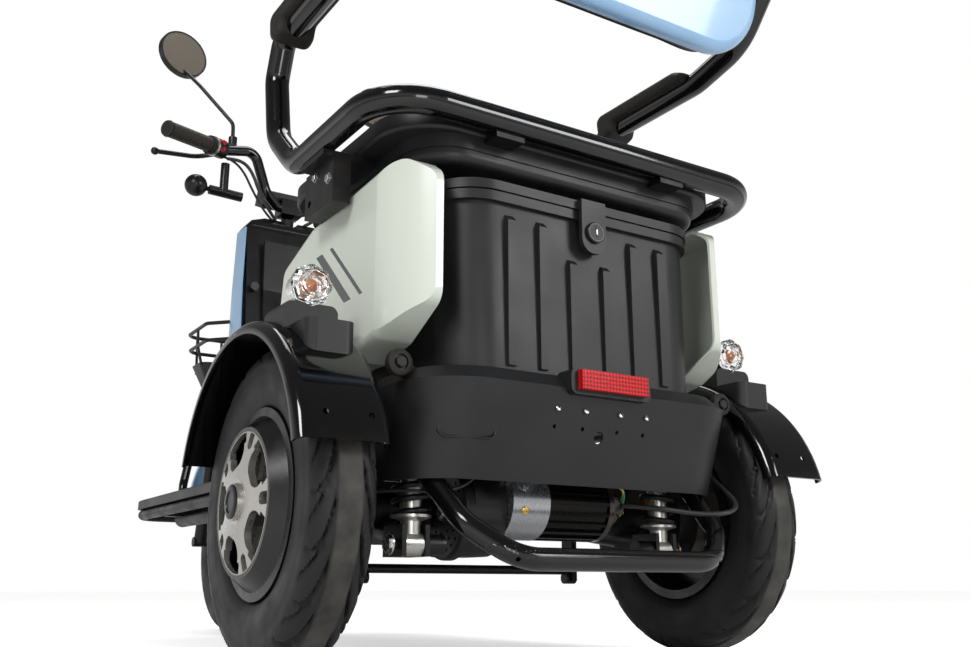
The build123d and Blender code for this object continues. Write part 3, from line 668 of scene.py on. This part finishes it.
def tread_grooves(around, across):
    """Depth share of the tread's grooves: scallops that turn along the middle band, short ones between."""
    pitch = 2 * pi * WHEEL_R / TREAD_PITCHES
    side = np.abs(across)
    count = around / (2 * pi) * TREAD_PITCHES + 0.5 * (across < 0)
    inward = np.clip((35 - side) / 21, 0, 1)
    long_line = count + 0.95 * inward ** 2
    long_slope = 1.9 * inward / 21 * pitch
    short_line = count - 0.9 * np.clip((side - 18) / 20, 0, 1) ** 1.5 + 0.25
    groove_and_painted_shade = np.zeros(len(across))
    for line, slope, first in ((long_line, long_slope, 14), (short_line, 2.4, 21)):
        gap = np.abs((line % 1) - 0.5) * pitch / np.sqrt(1 + slope ** 2)
        cut = np.clip((GROOVE_HALF + 0.8 - gap) / 1.1, 0, 1)
        groove_and_painted_shade = np.maximum(groove_and_painted_shade, cut * np.clip((side - first) / 1.5, 0, 1))
    return groove_and_painted_shade


def tyre_mesh():
    """A tyre about the X axis at the origin, with grooves cut in its tread and rings on its sidewalls."""
    deselect()
    bpy.ops.mesh.primitive_torus_add(major_segments=AROUND, minor_segments=ACROSS,
                                     major_radius=TYRE_MIDDLE * MM, minor_radius=TYRE_HALF * MM)
    piece = bpy.context.object
    corners = corners_of(piece)
    turn = np.arctan2(corners[:, 1], corners[:, 0])
    out = np.hypot(corners[:, 0], corners[:, 1]) - TYRE_MIDDLE * MM
    share = (np.arctan2(out, corners[:, 2]) / (2 * pi)) % 1
    across, radius = tyre_section(share)
    groove_and_painted_shade = tread_grooves(turn, across) * np.clip((radius - 163) / 5, 0, 1)
    ring = sum(np.clip(1.5 - np.abs(radius - middle) / 1.6, 0, 1) for middle in (120, 127, 153))
    across = across * (1 - 0.02 * np.clip(ring, 0, 1))
    radius = radius - GROOVE_DEPTH * groove_and_painted_shade
    set_corners(piece, np.stack((across, radius * np.cos(turn), radius * np.sin(turn)), axis=1) * MM)
    wear = np.clip((16 - np.abs(across)) / 4, 0, 1) * (radius > 165)
    # the groove share also goes to the shader, where it paints shade into the grooves
    for name, values in (("wear", wear), ("groove_and_painted_shade", groove_and_painted_shade)):
        layer = piece.data.attributes.new(name, "FLOAT", "POINT")
        layer.data.foreach_set("value", values.astype(np.float32))
    face_outwards(piece)
    return piece


def make_tyres():
    pattern = tyre_mesh()
    spots = (("rear_tyre_left", -HALF_TRACK, 0, "rear_wheel_left_body"),
             ("rear_tyre_right", HALF_TRACK, 0, "rear_wheel_right_body"),
             ("front_tyre", 0, WHEELBASE, "front_wheel_body"))
    for name, x, y, body in spots:
        tyre = copy_of(pattern, Matrix.Translation(place(x, y, WHEEL_R)))
        mount(tyre, name + "_treaded", body, "rubber", 50)
        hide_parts(name)
    bpy.data.objects.remove(pattern)


def make_wheel_trim():
    """Dark caps in the rear hubs and the valve stems of the rear wheels."""
    for side, body in ((-1, "rear_wheel_left_body"), (1, "rear_wheel_right_body")):
        cap = turned([(17, 0), (19.5, 0.6), (19.5, 3), (17.5, 4.2), (13, 4.4), (12, 3), (0.4, 3)], 48)
        stand(cap, (side * (HALF_TRACK + 60), 0, WHEEL_R), (side, 0, 0))
        mount(cap, f"hub_cap_{'left' if side < 0 else 'right'}", body, "satin")
        stem = turned([(3, 0), (3, 14), (4.2, 15), (4.2, 24), (3, 25.5)], 20)
        stand(stem, (side * (HALF_TRACK + 24), 38, WHEEL_R + 66), (side * 0.35, -0.5, -0.87))
        mount(stem, f"valve_{'left' if side < 0 else 'right'}", body, "foam")


# ---- springs, motor and axle details
def make_shocks():
    """Coil-over shock absorber: open coil spring between two seats, damper body, rod and eyes."""
    deselect()
    bpy.ops.mesh.primitive_circle_add(vertices=12, radius=3.6 * MM, rotation=(pi / 2, 0, 0),
                                      location=(20 * MM, 0, 0))
    spring = bpy.context.object
    bake_place(spring)
    screw = spring.modifiers.new("coil", "SCREW")
    screw.axis = "Z"
    screw.screw_offset = 15 * MM
    screw.iterations = 6
    screw.steps = 28
    screw.render_steps = 28
    screw.use_merge_vertices = False
    only(spring)
    bpy.ops.object.modifier_apply(modifier="coil")
    bpy.ops.object.mode_set(mode="EDIT")
    bpy.ops.mesh.select_all(action="DESELECT")
    bpy.ops.mesh.select_non_manifold()
    bpy.ops.mesh.fill()
    bpy.ops.object.mode_set(mode="OBJECT")
    face_outwards(spring)
    stand(spring, (-SHOCK_X, SHOCK_Y, 172), (0, 0, 1))
    mount(both_sides(spring), "shock_springs", "chassis", "steel")

    body = turned([(9, 10), (12, 11), (12, 26), (24, 30), (24, 33), (13, 36), (13, 92), (6, 94), (6, 118),
                   (23, 120), (23, 124), (14, 128), (10, 140), (9, 146)], 36)
    stand(body, SHOCK_FOOT, (0, 0, 1))
    low_eye = stand(turned([(7, -12), (14, -12), (14, 12), (7, 12)], 32), SHOCK_FOOT, (1, 0, 0))
    high_eye = stand(turned([(7, -12), (13, -12), (13, 12), (7, 12)], 32), SHOCK_HEAD, (1, 0, 0))
    damper = join([body, low_eye, high_eye])
    mount(both_sides(damper), "shock_dampers", "chassis", "alloy")
    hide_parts("shock_absorbers")


def hex_bolt(radius, height):
    """A hexagon head on a washer, along +Z, in mm."""
    washer = turned([(radius * 1.25, 0), (radius * 1.25, radius * 0.2)], 28)
    head = turned([(radius, radius * 0.2), (radius, height * 0.85), (radius * 0.86, height)], 6)
    return join([washer, head])


def pan_screw(radius):
    """A pan-head screw with a cross recess, along +Z, in mm."""
    profile = ((1, 0), (1, 0.3), (0.8, 0.55), (0.4, 0.62), (0.25, 0.62), (0.2, 0.25))
    return turned([(wide * radius, high * radius) for wide, high in profile], 24)


CHASSIS_BOLTS = [           # place, direction, across-corner radius, head height
    ((-SHOCK_X - 26, SHOCK_Y, 138), (-1, 0, 0), 10, 6), ((SHOCK_X + 26, SHOCK_Y, 138), (1, 0, 0), 10, 6),
    ((-SHOCK_X - 22, SHOCK_Y, 286), (-1, 0, 0), 10, 6), ((SHOCK_X + 22, SHOCK_Y, 286), (1, 0, 0), 10, 6),
    ((-75, -30, 226), (1, 0, 0.2), 5, 4), ((-75, 20, 150), (1, 0, 0), 5, 4),
    ((-133, -45, 178), (-1, 0, 0), 8, 4),
]
SEAT_BOLTS = [
    ((-292, -30, 583), (-1, 0, 0), 6, 4), ((292, -30, 583), (1, 0, 0), 6, 4),
    ((-292, 12, 598), (-1, 0, 0), 5, 4), ((292, 12, 598), (1, 0, 0), 5, 4),
]


def make_bolts():
    for body, spots in (("chassis", CHASSIS_BOLTS), ("seat", SEAT_BOLTS)):
        heads = [stand(hex_bolt(radius, height), at, way) for at, way, radius, height in spots]
        mount(join(heads), body + "_bolts", body, "zinc", 25)


def make_motor_details():
    """Terminals with nuts, the brass plug in the drum, and bronze bushings on the right-hand arm."""
    studs = []
    for y, z in ((-92, 184), (-92, 196), (-78, 203)):
        studs.append(stand(hex_bolt(5, 4), (104, y, z), (1, 0, 0)))
        studs.append(stand(turned([(2, 0), (2, 9), (1.5, 10)], 16), (104, y, z), (1, 0, 0)))
    mount(join(studs), "motor_terminals", "chassis", "brass", 25)
    plug = stand(turned([(5, -1), (5, 1.5), (3.5, 2.4), (0.4, 2.4)], 24), (-57, -113.5, 179), (0, -1, -0.28))
    mount(plug, "motor_plug", "chassis", "brass")
    bushings = [stand(turned([(6, 0), (9, 0.5), (9, 8), (6, 8.5)], 28), (x, y, z), (1, 0, 0))
                for x, y, z in ((214, SHOCK_Y, 138), (176, -60, 200))]
    mount(join(bushings), "bronze_bushings", "chassis", "bronze")


WIRE_COLOURS = (("green_wire", "#2d8a5f"), ("blue_wire", "#2c5fa8"), ("yellow_wire", "#c79a3a"))


def make_phase_wires():
    """Three coloured phase wires from the terminals into the end of the lead's sheath."""
    for count, (name, colour) in enumerate(WIRE_COLOURS):
        finish[name] = painted(name + "_pvc", colour, 0.4)
        wire = rod([(60, -106 - count, 226 + 2 * count), (82, -116, 222 - 3 * count), (98, -118, 208),
                    (103, -104 + 2 * count, 194 + count)], 1.5)
        mount(wire, name, "chassis", name)


# ---- lamps and reflector
LAMP_SPOT = (-333, -92, 422)


def scallop(piece, lobes, depth):
    """Draw the rim of a turned piece in between lobes, as on a cut crystal lens."""
    for corner in piece.data.vertices:
        x, y, z = corner.co
        around = atan2(y, x)
        draw = 1 - depth * (0.5 - 0.5 * cos(lobes * around)) * min(1.0, hypot(x, y) / 0.02)
        corner.co = (x * draw, y * draw, z)


def make_rear_lamps():
    """Clear lamps: an eight-lobed crystal lens over a bright bowl, with an amber bulb inside."""
    lens = turned([(21, -6), (25, -5), (25, -1), (23.4, 3), (19, 6), (17.2, 4.4), (15, 7.4), (11, 8),
                   (9.6, 6.6), (7, 7.6), (0.5, 7.8)], 48)
    scallop(lens, 8, 0.09)
    bowl = turned([(8, -32), (20, -30), (21.5, -16), (24.2, -6.5), (22.6, -6.5), (19, -14), (12, -19),
                   (0.5, -20)], 48)
    bulb = turned([(4, -19), (4, -13), (6.6, -10), (7, -6.6), (5.2, -3.4), (0.5, -2.4)], 28)
    rows = ((lens, "lamp_lenses", "lens", 18), (bowl, "lamp_bowls", "reflector", 35),
            (bulb, "lamp_bulbs", "amber", 60))
    for piece, name, material, angle in rows:
        stand(piece, LAMP_SPOT, (0, -1, 0))
        mount(both_sides(piece), name, "chassis", material, angle)
    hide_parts("rear_lamps")


def make_headlamp():
    """Round headlamp glass."""
    glass = turned([(43.5, 0), (44, 3), (40, 6.4), (30, 8.6), (15, 9.8), (0.5, 10)], 64)
    stand(glass, (0, 984.3 + 5.5, 748), (0, 1, 0))
    mount(glass, "headlamp_glass", "chassis", "lens", 60)


# ---- rear covers
def make_fascia_details():
    """Screws on the fascia, and the raised pill on its left half."""
    top_screws = [stand(pan_screw(3.6), (x, -196.4, 290), (0, -1, 0.35)) for x in (-67, -26, 26, 67)]
    mount(join(top_screws), "fascia_screws", "chassis", "zinc", 25)
    deselect()
    bpy.ops.mesh.primitive_torus_add(major_segments=64, minor_segments=8, major_radius=9 * MM,
                                     minor_radius=1.1 * MM)
    pill = bpy.context.object
    for corner in pill.data.vertices:
        corner.co.x += 23 * MM if corner.co.x > 0 else -23 * MM
    stand(pill, (-178, -186.6, 258), (0, -1, 0.35))
    cast_onto(pill, nodes["rear_fascia"], Vector((0, 1, 0)))
    mount(pill, "fascia_pill", "chassis", "cover", 60)


def cast_onto(piece, wall, way):
    """Slide each corner of a flat outline along a way until its middle lies on a wall."""
    centre = sum((corner.co.dot(way) for corner in piece.data.vertices)) / len(piece.data.vertices)
    for corner in piece.data.vertices:
        start = corner.co - way * (corner.co.dot(way) - centre) - way * 0.2
        hit, spot, _, _ = wall.ray_cast(start, way)
        if hit:
            corner.co += way * (spot - start).dot(way) - way * 0.2


def make_lock():
    """The trunk's lock: a turned collar round a keyed cylinder."""
    collar = turned([(10, 0), (13.5, 0), (13.5, 3), (12, 4.4), (10.4, 4.4), (10.2, 2.2), (10, 0)], 48)
    stand(collar, (0, -189.5, 519), (0, -1, 0))
    mount(collar, "lock_collar", "seat", "satin")
    slot = shift(block((2.6, 1.6, 9), 0.4, 2), 0, -194.4, 519)
    mount(slot, "lock_key_slot", "seat", "zinc")


# ---- handlebar
def make_mirror_glass():
    """Slightly domed glass in each mirror, with a rubber rim."""
    turn = Matrix.Rotation(radians(12), 4, "Z") @ Matrix.Rotation(radians(84), 4, "X")
    set_in = Matrix.Translation(place(*MIRROR_SPOT)) @ turn
    glass = turned([(51.5, 5.4), (51.5, 6.3), (40, 7.4), (22, 8.2), (0.5, 8.5)], 64)
    glass.matrix_world = set_in
    bake_place(glass)
    # the mirror finish paints a warm grey reflection into the glass's colour
    mount(both_sides(glass), "mirror_glass", "steering", "mirror", 60)
    deselect()
    bpy.ops.mesh.primitive_torus_add(major_segments=64, minor_segments=10, major_radius=53 * MM,
                                     minor_radius=1.9 * MM, location=(0, 0, 6 * MM))
    rim = bpy.context.object
    bake_place(rim)
    rim.matrix_world = set_in
    bake_place(rim)
    mount(both_sides(rim), "mirror_rims", "steering", "foam", 60)


GRIP_END = Vector((-302, 752, 966))
GRIP_WAY = (Vector((-165, 829, 983)) - GRIP_END).normalized()


def along_grip(distance):
    return tuple(GRIP_END + GRIP_WAY * distance)


def make_handlebar_details():
    """Grip flanges, end caps and clamp collars, with the control cables that follow the bar."""
    flange = stand(turned([(16, 0), (20, 1), (20, 4), (16.4, 6)], 40), along_grip(112), GRIP_WAY)
    cap = stand(turned([(10, 0), (16.4, 2), (17.2, 5), (16.2, 8)], 40), along_grip(-6), GRIP_WAY)
    mount(both_sides(join([flange, cap])), "grip_ends", "steering", "foam")
    collar = stand(turned([(17, 0), (20.8, 0.8), (20.8, 6), (17, 6.8)], 40), along_grip(120), GRIP_WAY)
    mount(both_sides(collar), "switch_collars", "steering", "alloy")
    thin = rod([(-176, 852, 978), (-150, 862, 986), (-112, 864, 968), (-84, 862, 915), (-50, 866, 872),
                (-30, 872, 862)], 2.6)
    thick = rod([(-160, 820, 962), (-132, 822, 968), (-104, 824, 950), (-80, 834, 905), (-52, 842, 872),
                 (-34, 856, 862)], 3.6)
    mount(both_sides(join([thin, thick])), "control_cables", "steering", "cord", 60)
    buttons = [stand(turned([(6, 0), (6, 2), (4.6, 3)], 24), (-176, y, z), (0.1, -1, 0.1))
               for y, z in ((803, 988), (804, 974))]
    mount(join(buttons), "switch_buttons", "steering", "red")


def make_meter_screen():
    """Round-cornered display set in the meter's top."""
    screen = block((78, 34, 3), 1.2)
    screen.matrix_world = Matrix.Translation(place(0, 906, 946.5)) @ Matrix.Rotation(radians(24), 4, "X")
    bake_place(screen)
    mount(screen, "meter_screen", "steering", "screen")


# ---- footboard and small fittings
MAT_RIBS = 38
MAT_HALF = 236


def make_floor_mat():
    """Ribbed rubber mat on the footboard, between the seat's cover and the front shield."""
    mat = shift(block((2 * MAT_HALF, 470, 2), 0.8), 0, 480, 242)
    ribs = []
    for count in range(MAT_RIBS):
        x = -MAT_HALF + 10 + count * (2 * MAT_HALF - 20) / (MAT_RIBS - 1)
        ribs.append(shift(block((4, 452, 2), 0.7, 1), x, 480, 243.4))
    mount(join([mat, *ribs]), "floor_mat", "chassis", "foam")


def make_corner_boss():
    """Hexagon screw in a rubber sleeve on each corner of the frame, below the pods."""
    x, y, z = -248, -140, 332
    sleeve = stand(turned([(15, 0), (15, 9), (12, 11), (9, 11), (9, 7), (0.5, 7)], 32), (x, y, z), (0, -1, 0))
    head = stand(hex_bolt(7, 6), (x, y - 7, z), (0, -1, 0))
    stay = stand(turned([(9, 0), (9, 52)], 20), (x, y, z), (45, 28, -10))
    mount(both_sides(join([sleeve, stay])), "corner_sleeves", "chassis", "foam")
    mount(both_sides(head), "corner_screws", "chassis", "steel", 25)


# ---- soft goods
def bevel_where(piece, offset, segments, wanted, clamp=False):
    """Round the edges whose run and middle pass a test, in mm."""
    only(piece)
    bpy.ops.object.mode_set(mode="EDIT")
    bpy.ops.mesh.select_mode(type="EDGE")
    bpy.ops.mesh.select_all(action="DESELECT")
    bpy.ops.object.mode_set(mode="OBJECT")
    corners = piece.data.vertices
    for edge in piece.data.edges:
        start, end = (corners[index].co for index in edge.vertices)
        edge.select = wanted(end - start, (start + end) / 2)
    bpy.ops.object.mode_set(mode="EDIT")
    bpy.ops.mesh.bevel(offset=offset * MM, segments=segments, affect="EDGES", clamp_overlap=clamp)
    bpy.ops.object.mode_set(mode="OBJECT")


def pad_block(size, corner, soft, axis):
    """A pad's block about the origin, in mm: wide corners along one axis, soft rims at its two faces."""
    piece = cuboid(size)
    bevel_where(piece, corner, 10, lambda run, middle: abs(run[axis]) > 0.9 * run.length)
    face = size[axis] / 2 * MM
    bevel_where(piece, soft, 5, lambda run, middle: abs(abs(middle[axis]) - face) < 0.01 * face)
    return piece


def modified(piece, kind, **settings):
    """Add a modifier with its settings and apply it."""
    made = piece.modifiers.new("shaping", kind)
    for key, value in settings.items():
        setattr(made, key, value)
    only(piece)
    bpy.ops.object.modifier_apply(modifier="shaping")
    return piece


def corners_of(piece):
    """The mesh's points as an array, in metres."""
    spots = np.empty(len(piece.data.vertices) * 3)
    piece.data.vertices.foreach_get("co", spots)
    return spots.reshape(-1, 3)


def set_corners(piece, spots):
    piece.data.vertices.foreach_set("co", spots.ravel())
    piece.data.update()


def puff(piece, pressure, cap_mm):
    """Blow the pad up as a cloth bag, let no point move further than the cap, and refine it once."""
    before = corners_of(piece)
    cloth = piece.modifiers.new("cover", "CLOTH").settings
    cloth.quality = 5
    cloth.mass = 0.3
    cloth.tension_stiffness = 12
    cloth.compression_stiffness = 12
    cloth.shear_stiffness = 4
    cloth.bending_stiffness = 0.4
    cloth.use_pressure = True
    cloth.uniform_pressure_force = pressure
    cloth.effector_weights.gravity = 0
    for count in range(1, 21):
        bpy.context.scene.frame_set(count)
    only(piece)
    bpy.ops.object.modifier_apply(modifier="cover")
    bpy.context.scene.frame_set(1)
    move = corners_of(piece) - before
    length = np.linalg.norm(move, axis=1, keepdims=True)
    set_corners(piece, before + move * np.minimum(1, cap_mm * MM / np.maximum(length, 1e-9)))
    modified(piece, "SMOOTH", factor=0.5, iterations=4)
    modified(piece, "SUBSURF", levels=1, render_levels=1)
    return piece


def held_in(piece, low, high):
    """Press the pad flat where it would pass the planes of a box, given in mm in its own frame."""
    set_corners(piece, np.clip(corners_of(piece), np.array(low) * MM, np.array(high) * MM))
    return piece


def sewn(piece, offset_mm, depth_mm, half_mm, way):
    """Draw the cover in along a seam: offset_mm gives each point's distance from it, way the pull."""
    spots = corners_of(piece)
    close = np.clip(1 - np.abs(offset_mm(spots / MM)) / half_mm, 0, 1)
    spots += (close * close * (3 - 2 * close) * depth_mm * MM)[:, None] * way(spots / MM)
    set_corners(piece, spots)
    return piece


def piping(pad, outline, radius):
    """Piping sewn round a pad: outline gives points outside it with the way to its surface, in mm."""
    spots = []
    for start, way in outline:
        hit, spot, _, _ = pad.ray_cast(Vector(start) * MM, Vector(way).normalized())
        if hit:
            spots.append(spot)
    return as_mesh(tube_curve("piping", spots, radius * MM, 4, 3, 3, closed=True))


def ring_round(half_x, half_other, count):
    """Points on an ellipse round the origin."""
    for step in range(count):
        turn = 2 * pi * step / count
        yield half_x * cos(turn), half_other * sin(turn)


def channel(pad, line, axis, out, reach, depth_mm, half_mm):
    """A channel sewn along X where axis meets line; out is the axis that leaves the padded face."""
    def offset(at):
        return np.where((at[:, out] > 5) & (np.abs(at[:, 0]) < reach), at[:, axis] - line, 99)

    inwards = np.zeros(3)
    inwards[out] = -1.0
    sewn(pad, offset, depth_mm, half_mm, lambda at: inwards)


def finish_cushion(pad, trim, to_world, name):
    """Set a cushion and its piping in place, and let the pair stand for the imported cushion."""
    for piece in (pad, trim):
        piece.data.transform(to_world)
    mount(pad, name + "_cushion_padded", "seat", "leathercloth", 60)
    mount(trim, name + "_piping", "seat", "foam", 60)
    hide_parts(name + "_cushion")


def make_seat_cushion():
    """Crowned seat cushion: coated cloth over foam, two sewn channels across, piping round its upper rim."""
    pad = pad_block((466, 378, 34), 98, 11, 2)
    modified(pad, "REMESH", mode="VOXEL", voxel_size=5 * MM)
    puff(pad, 4, 14)
    held_in(pad, (-240, -195, -18.5), (240, 195, 30))
    for line in (-52, 62):
        channel(pad, line, 1, 2, 205, 5, 11)
    sewn(pad, lambda at: np.where(np.abs(at[:, 2] - 8) < 12, at[:, 2] - 8, 99), 2, 4,
         lambda at: -at / np.linalg.norm(at, axis=1, keepdims=True))
    trim = piping(pad, [((x, y, 8), (-x, -y, 0)) for x, y in ring_round(300, 260, 96)], 2.2)
    finish_cushion(pad, trim, Matrix.Translation(place(*SEAT_PAD_MIDDLE)), "seat")


def make_backrest_cushion():
    """Thick backrest cushion in front of its moulded shell, with two sewn channels and piping."""
    pad = pad_block((506, 36, 316), 88, 12, 1)
    modified(pad, "REMESH", mode="VOXEL", voxel_size=5 * MM)
    puff(pad, 4, 12)
    held_in(pad, (-261, -20, -166), (261, 25, 166))
    for line in (-48, 52):
        channel(pad, line, 2, 1, 215, 6, 12)
    trim = piping(pad, [((x, 10, z), (-x, 0, -z)) for x, z in ring_round(330, 230, 96)], 2.2)
    lean = Matrix.Translation(place(*BACKREST_FOOT)) @ Matrix.Rotation(radians(BACKREST_LEAN), 4, "X")
    finish_cushion(pad, trim, lean @ Matrix.Translation((0, 22.3 * MM, 165 * MM)), "backrest")


SADDLE_HALF = 29
SADDLE = ((87, 858), (93, 841), (112, 835), (127, 843), (132, 875), (121, 884), (-62, 884), (-82, 875),
          (-82, 859))


def make_armrest_pads():
    """Moulded foam saddles over the top of each arm tube, with cheeks that hang lower at the front."""
    deselect()
    bpy.ops.mesh.primitive_circle_add(vertices=len(SADDLE), radius=0.1, fill_type="NGON")
    pad = bpy.context.object
    for corner, (y, z) in zip(pad.data.vertices, SADDLE):
        corner.co = place(-ARM_X - SADDLE_HALF, y, z)
    bpy.ops.object.mode_set(mode="EDIT")
    bpy.ops.mesh.select_all(action="SELECT")
    bpy.ops.mesh.extrude_region_move(TRANSFORM_OT_translate={"value": (2 * SADDLE_HALF * MM, 0, 0)})
    bpy.ops.object.mode_set(mode="OBJECT")
    face_outwards(pad)
    bevel_where(pad, 8, 4, lambda run, middle: abs(run.x) < 1e-6, clamp=True)
    modified(pad, "REMESH", mode="VOXEL", voxel_size=3.5 * MM)
    modified(pad, "SMOOTH", factor=0.5, iterations=6)
    modified(pad, "SUBSURF", levels=1, render_levels=1)
    pads = mount(both_sides(pad), "armrest_pads_moulded", "seat", "foam", 60)
    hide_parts("armrest_pads")


# ---- cords
LEAD = ((102, -104.3, 192), (124, -146, 188), (158, -186, 178), (196, -204, 180), (236, -178, 196),
        (256, -130, 222), (258, -80, 262), (256, -40.4, 304))
CABLE = ((-242.8, -48.3, 196), (-222, -88, 198), (-180, -120, 194), (-138, -126, 206), (-108, -116, 254),
         (-98, -94, 300.6))


def make_cord(name, route, diameter, stands_for):
    """A free lead or cable along the route of its packed tube."""
    piece = tube_curve(name, [place(*point) for point in route], diameter / 2, 3, 16, 6)
    piece.data.materials.append(finish["cord"])
    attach(piece, "chassis")
    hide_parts(stands_for)


# ---- camera, floor and light
def make_camera():
    """Camera low behind the left rear wheel."""
    data = bpy.data.cameras.new("camera")
    data.sensor_width = 36
    data.lens = 37.1
    data.clip_start = 0.01
    camera = bpy.data.objects.new("camera", data)
    bpy.context.scene.collection.objects.link(camera)
    camera.location = place(-753.7, -1110.6, 90.4)
    camera.rotation_euler = (radians(90 + 14.77), 0, radians(-32.67))
    bpy.context.scene.camera = camera


def make_lamp(name, at, aim, size, power):
    """A soft square lamp at a point, aimed at another, both in metres."""
    data = bpy.data.lights.new(name, "AREA")
    data.shape = "SQUARE"
    data.size = size
    data.energy = power
    lamp = bpy.data.objects.new(name, data)
    bpy.context.scene.collection.objects.link(lamp)
    lamp.location = at
    lamp.rotation_euler = (Vector(aim) - Vector(at)).to_track_quat("-Z", "Y").to_euler()


def make_stage():
    """Pale floor, white surroundings for the camera and for reflections, soft lamps."""
    deselect()
    bpy.ops.mesh.primitive_plane_add(size=40)
    floor = bpy.context.object
    floor.name = "floor"
    paint, shader = new_material("pale_floor_paint", "#f2f2f1", 0.7, Specular_IOR_Level=0.1)
    rough_between(paint, shader, noise(paint, 300, 2), 0.65, 0.8)
    rays = node(paint, "ShaderNodeLightPath")
    white = node(paint, "ShaderNodeEmission", Strength=0.52)
    both = node(paint, "ShaderNodeAddShader", [(0, shader, "BSDF"), (1, white, "Emission")])
    seen = node(paint, "ShaderNodeMixShader",
                [(0, rays, "Is Camera Ray"), (1, shader, "BSDF"), (2, both, "Shader")])
    link(paint, seen, "Shader", paint.node_tree.nodes["Material Output"], "Surface")
    floor.data.materials.append(paint)

    world = bpy.data.worlds.new("studio")
    world.use_nodes = True
    bpy.context.scene.world = world
    world.node_tree.nodes.clear()
    rays = node(world, "ShaderNodeLightPath")
    clear = node(world, "ShaderNodeMath", [(0, rays, "Is Camera Ray"), (1, rays, "Is Transmission Ray")],
                 operation="MAXIMUM")
    way = node(world, "ShaderNodeTexCoord")
    rise = node(world, "ShaderNodeSeparateXYZ", [("Vector", way, "Generated")])
    ceiling = node(world, "ShaderNodeMapRange", [("Value", rise, "Z")], From_Min=0.05, From_Max=0.45,
                   To_Min=1.0, To_Max=0.16)
    mirrored = node(world, "ShaderNodeBackground", [("Strength", ceiling, "Result")], Color=(1, 1, 1, 1))
    soft = node(world, "ShaderNodeBackground", Color=(1, 1, 1, 1), Strength=0.5)
    white = node(world, "ShaderNodeBackground", Color=(1, 1, 1, 1), Strength=1.0)
    lit = node(world, "ShaderNodeMixShader", [(0, rays, "Is Glossy Ray"), (1, soft, "Background"),
                                              (2, mirrored, "Background")])
    seen = node(world, "ShaderNodeMixShader",
                [(0, clear, "Value"), (1, lit, "Shader"), (2, white, "Background")])
    node(world, "ShaderNodeOutputWorld", [("Surface", seen, "Shader")])

    make_lamp("key", (-2.6, -2.0, 2.4), (0, -0.3, 0.5), 1.0, 60)
    make_lamp("fill", (1.6, -3.2, 1.6), (0, -0.3, 0.5), 1.0, 34)
    make_lamp("low_box", (-0.9, -3.4, 0.5), (0, -0.4, 0.4), 0.8, 14)
    make_lamp("top", (0.2, 0.4, 3.0), (0, 0, 0.5), 1.6, 30)


# ---- the whole vehicle
bpy.context.scene.view_settings.view_transform = "Standard"
make_camera()
make_cord("motor_lead_sheath", LEAD, 0.006, "motor_lead")
make_cord("brake_cable_sheath", CABLE, 0.004, "brake_cable")
make_tyres()
make_wheel_trim()
make_shocks()
make_bolts()
make_motor_details()
make_phase_wires()
make_rear_lamps()
make_headlamp()
make_fascia_details()
make_lock()
make_mirror_glass()
make_handlebar_details()
make_meter_screen()
make_floor_mat()
make_corner_boss()
make_seat_cushion()
make_backrest_cushion()
make_armrest_pads()
make_stage()
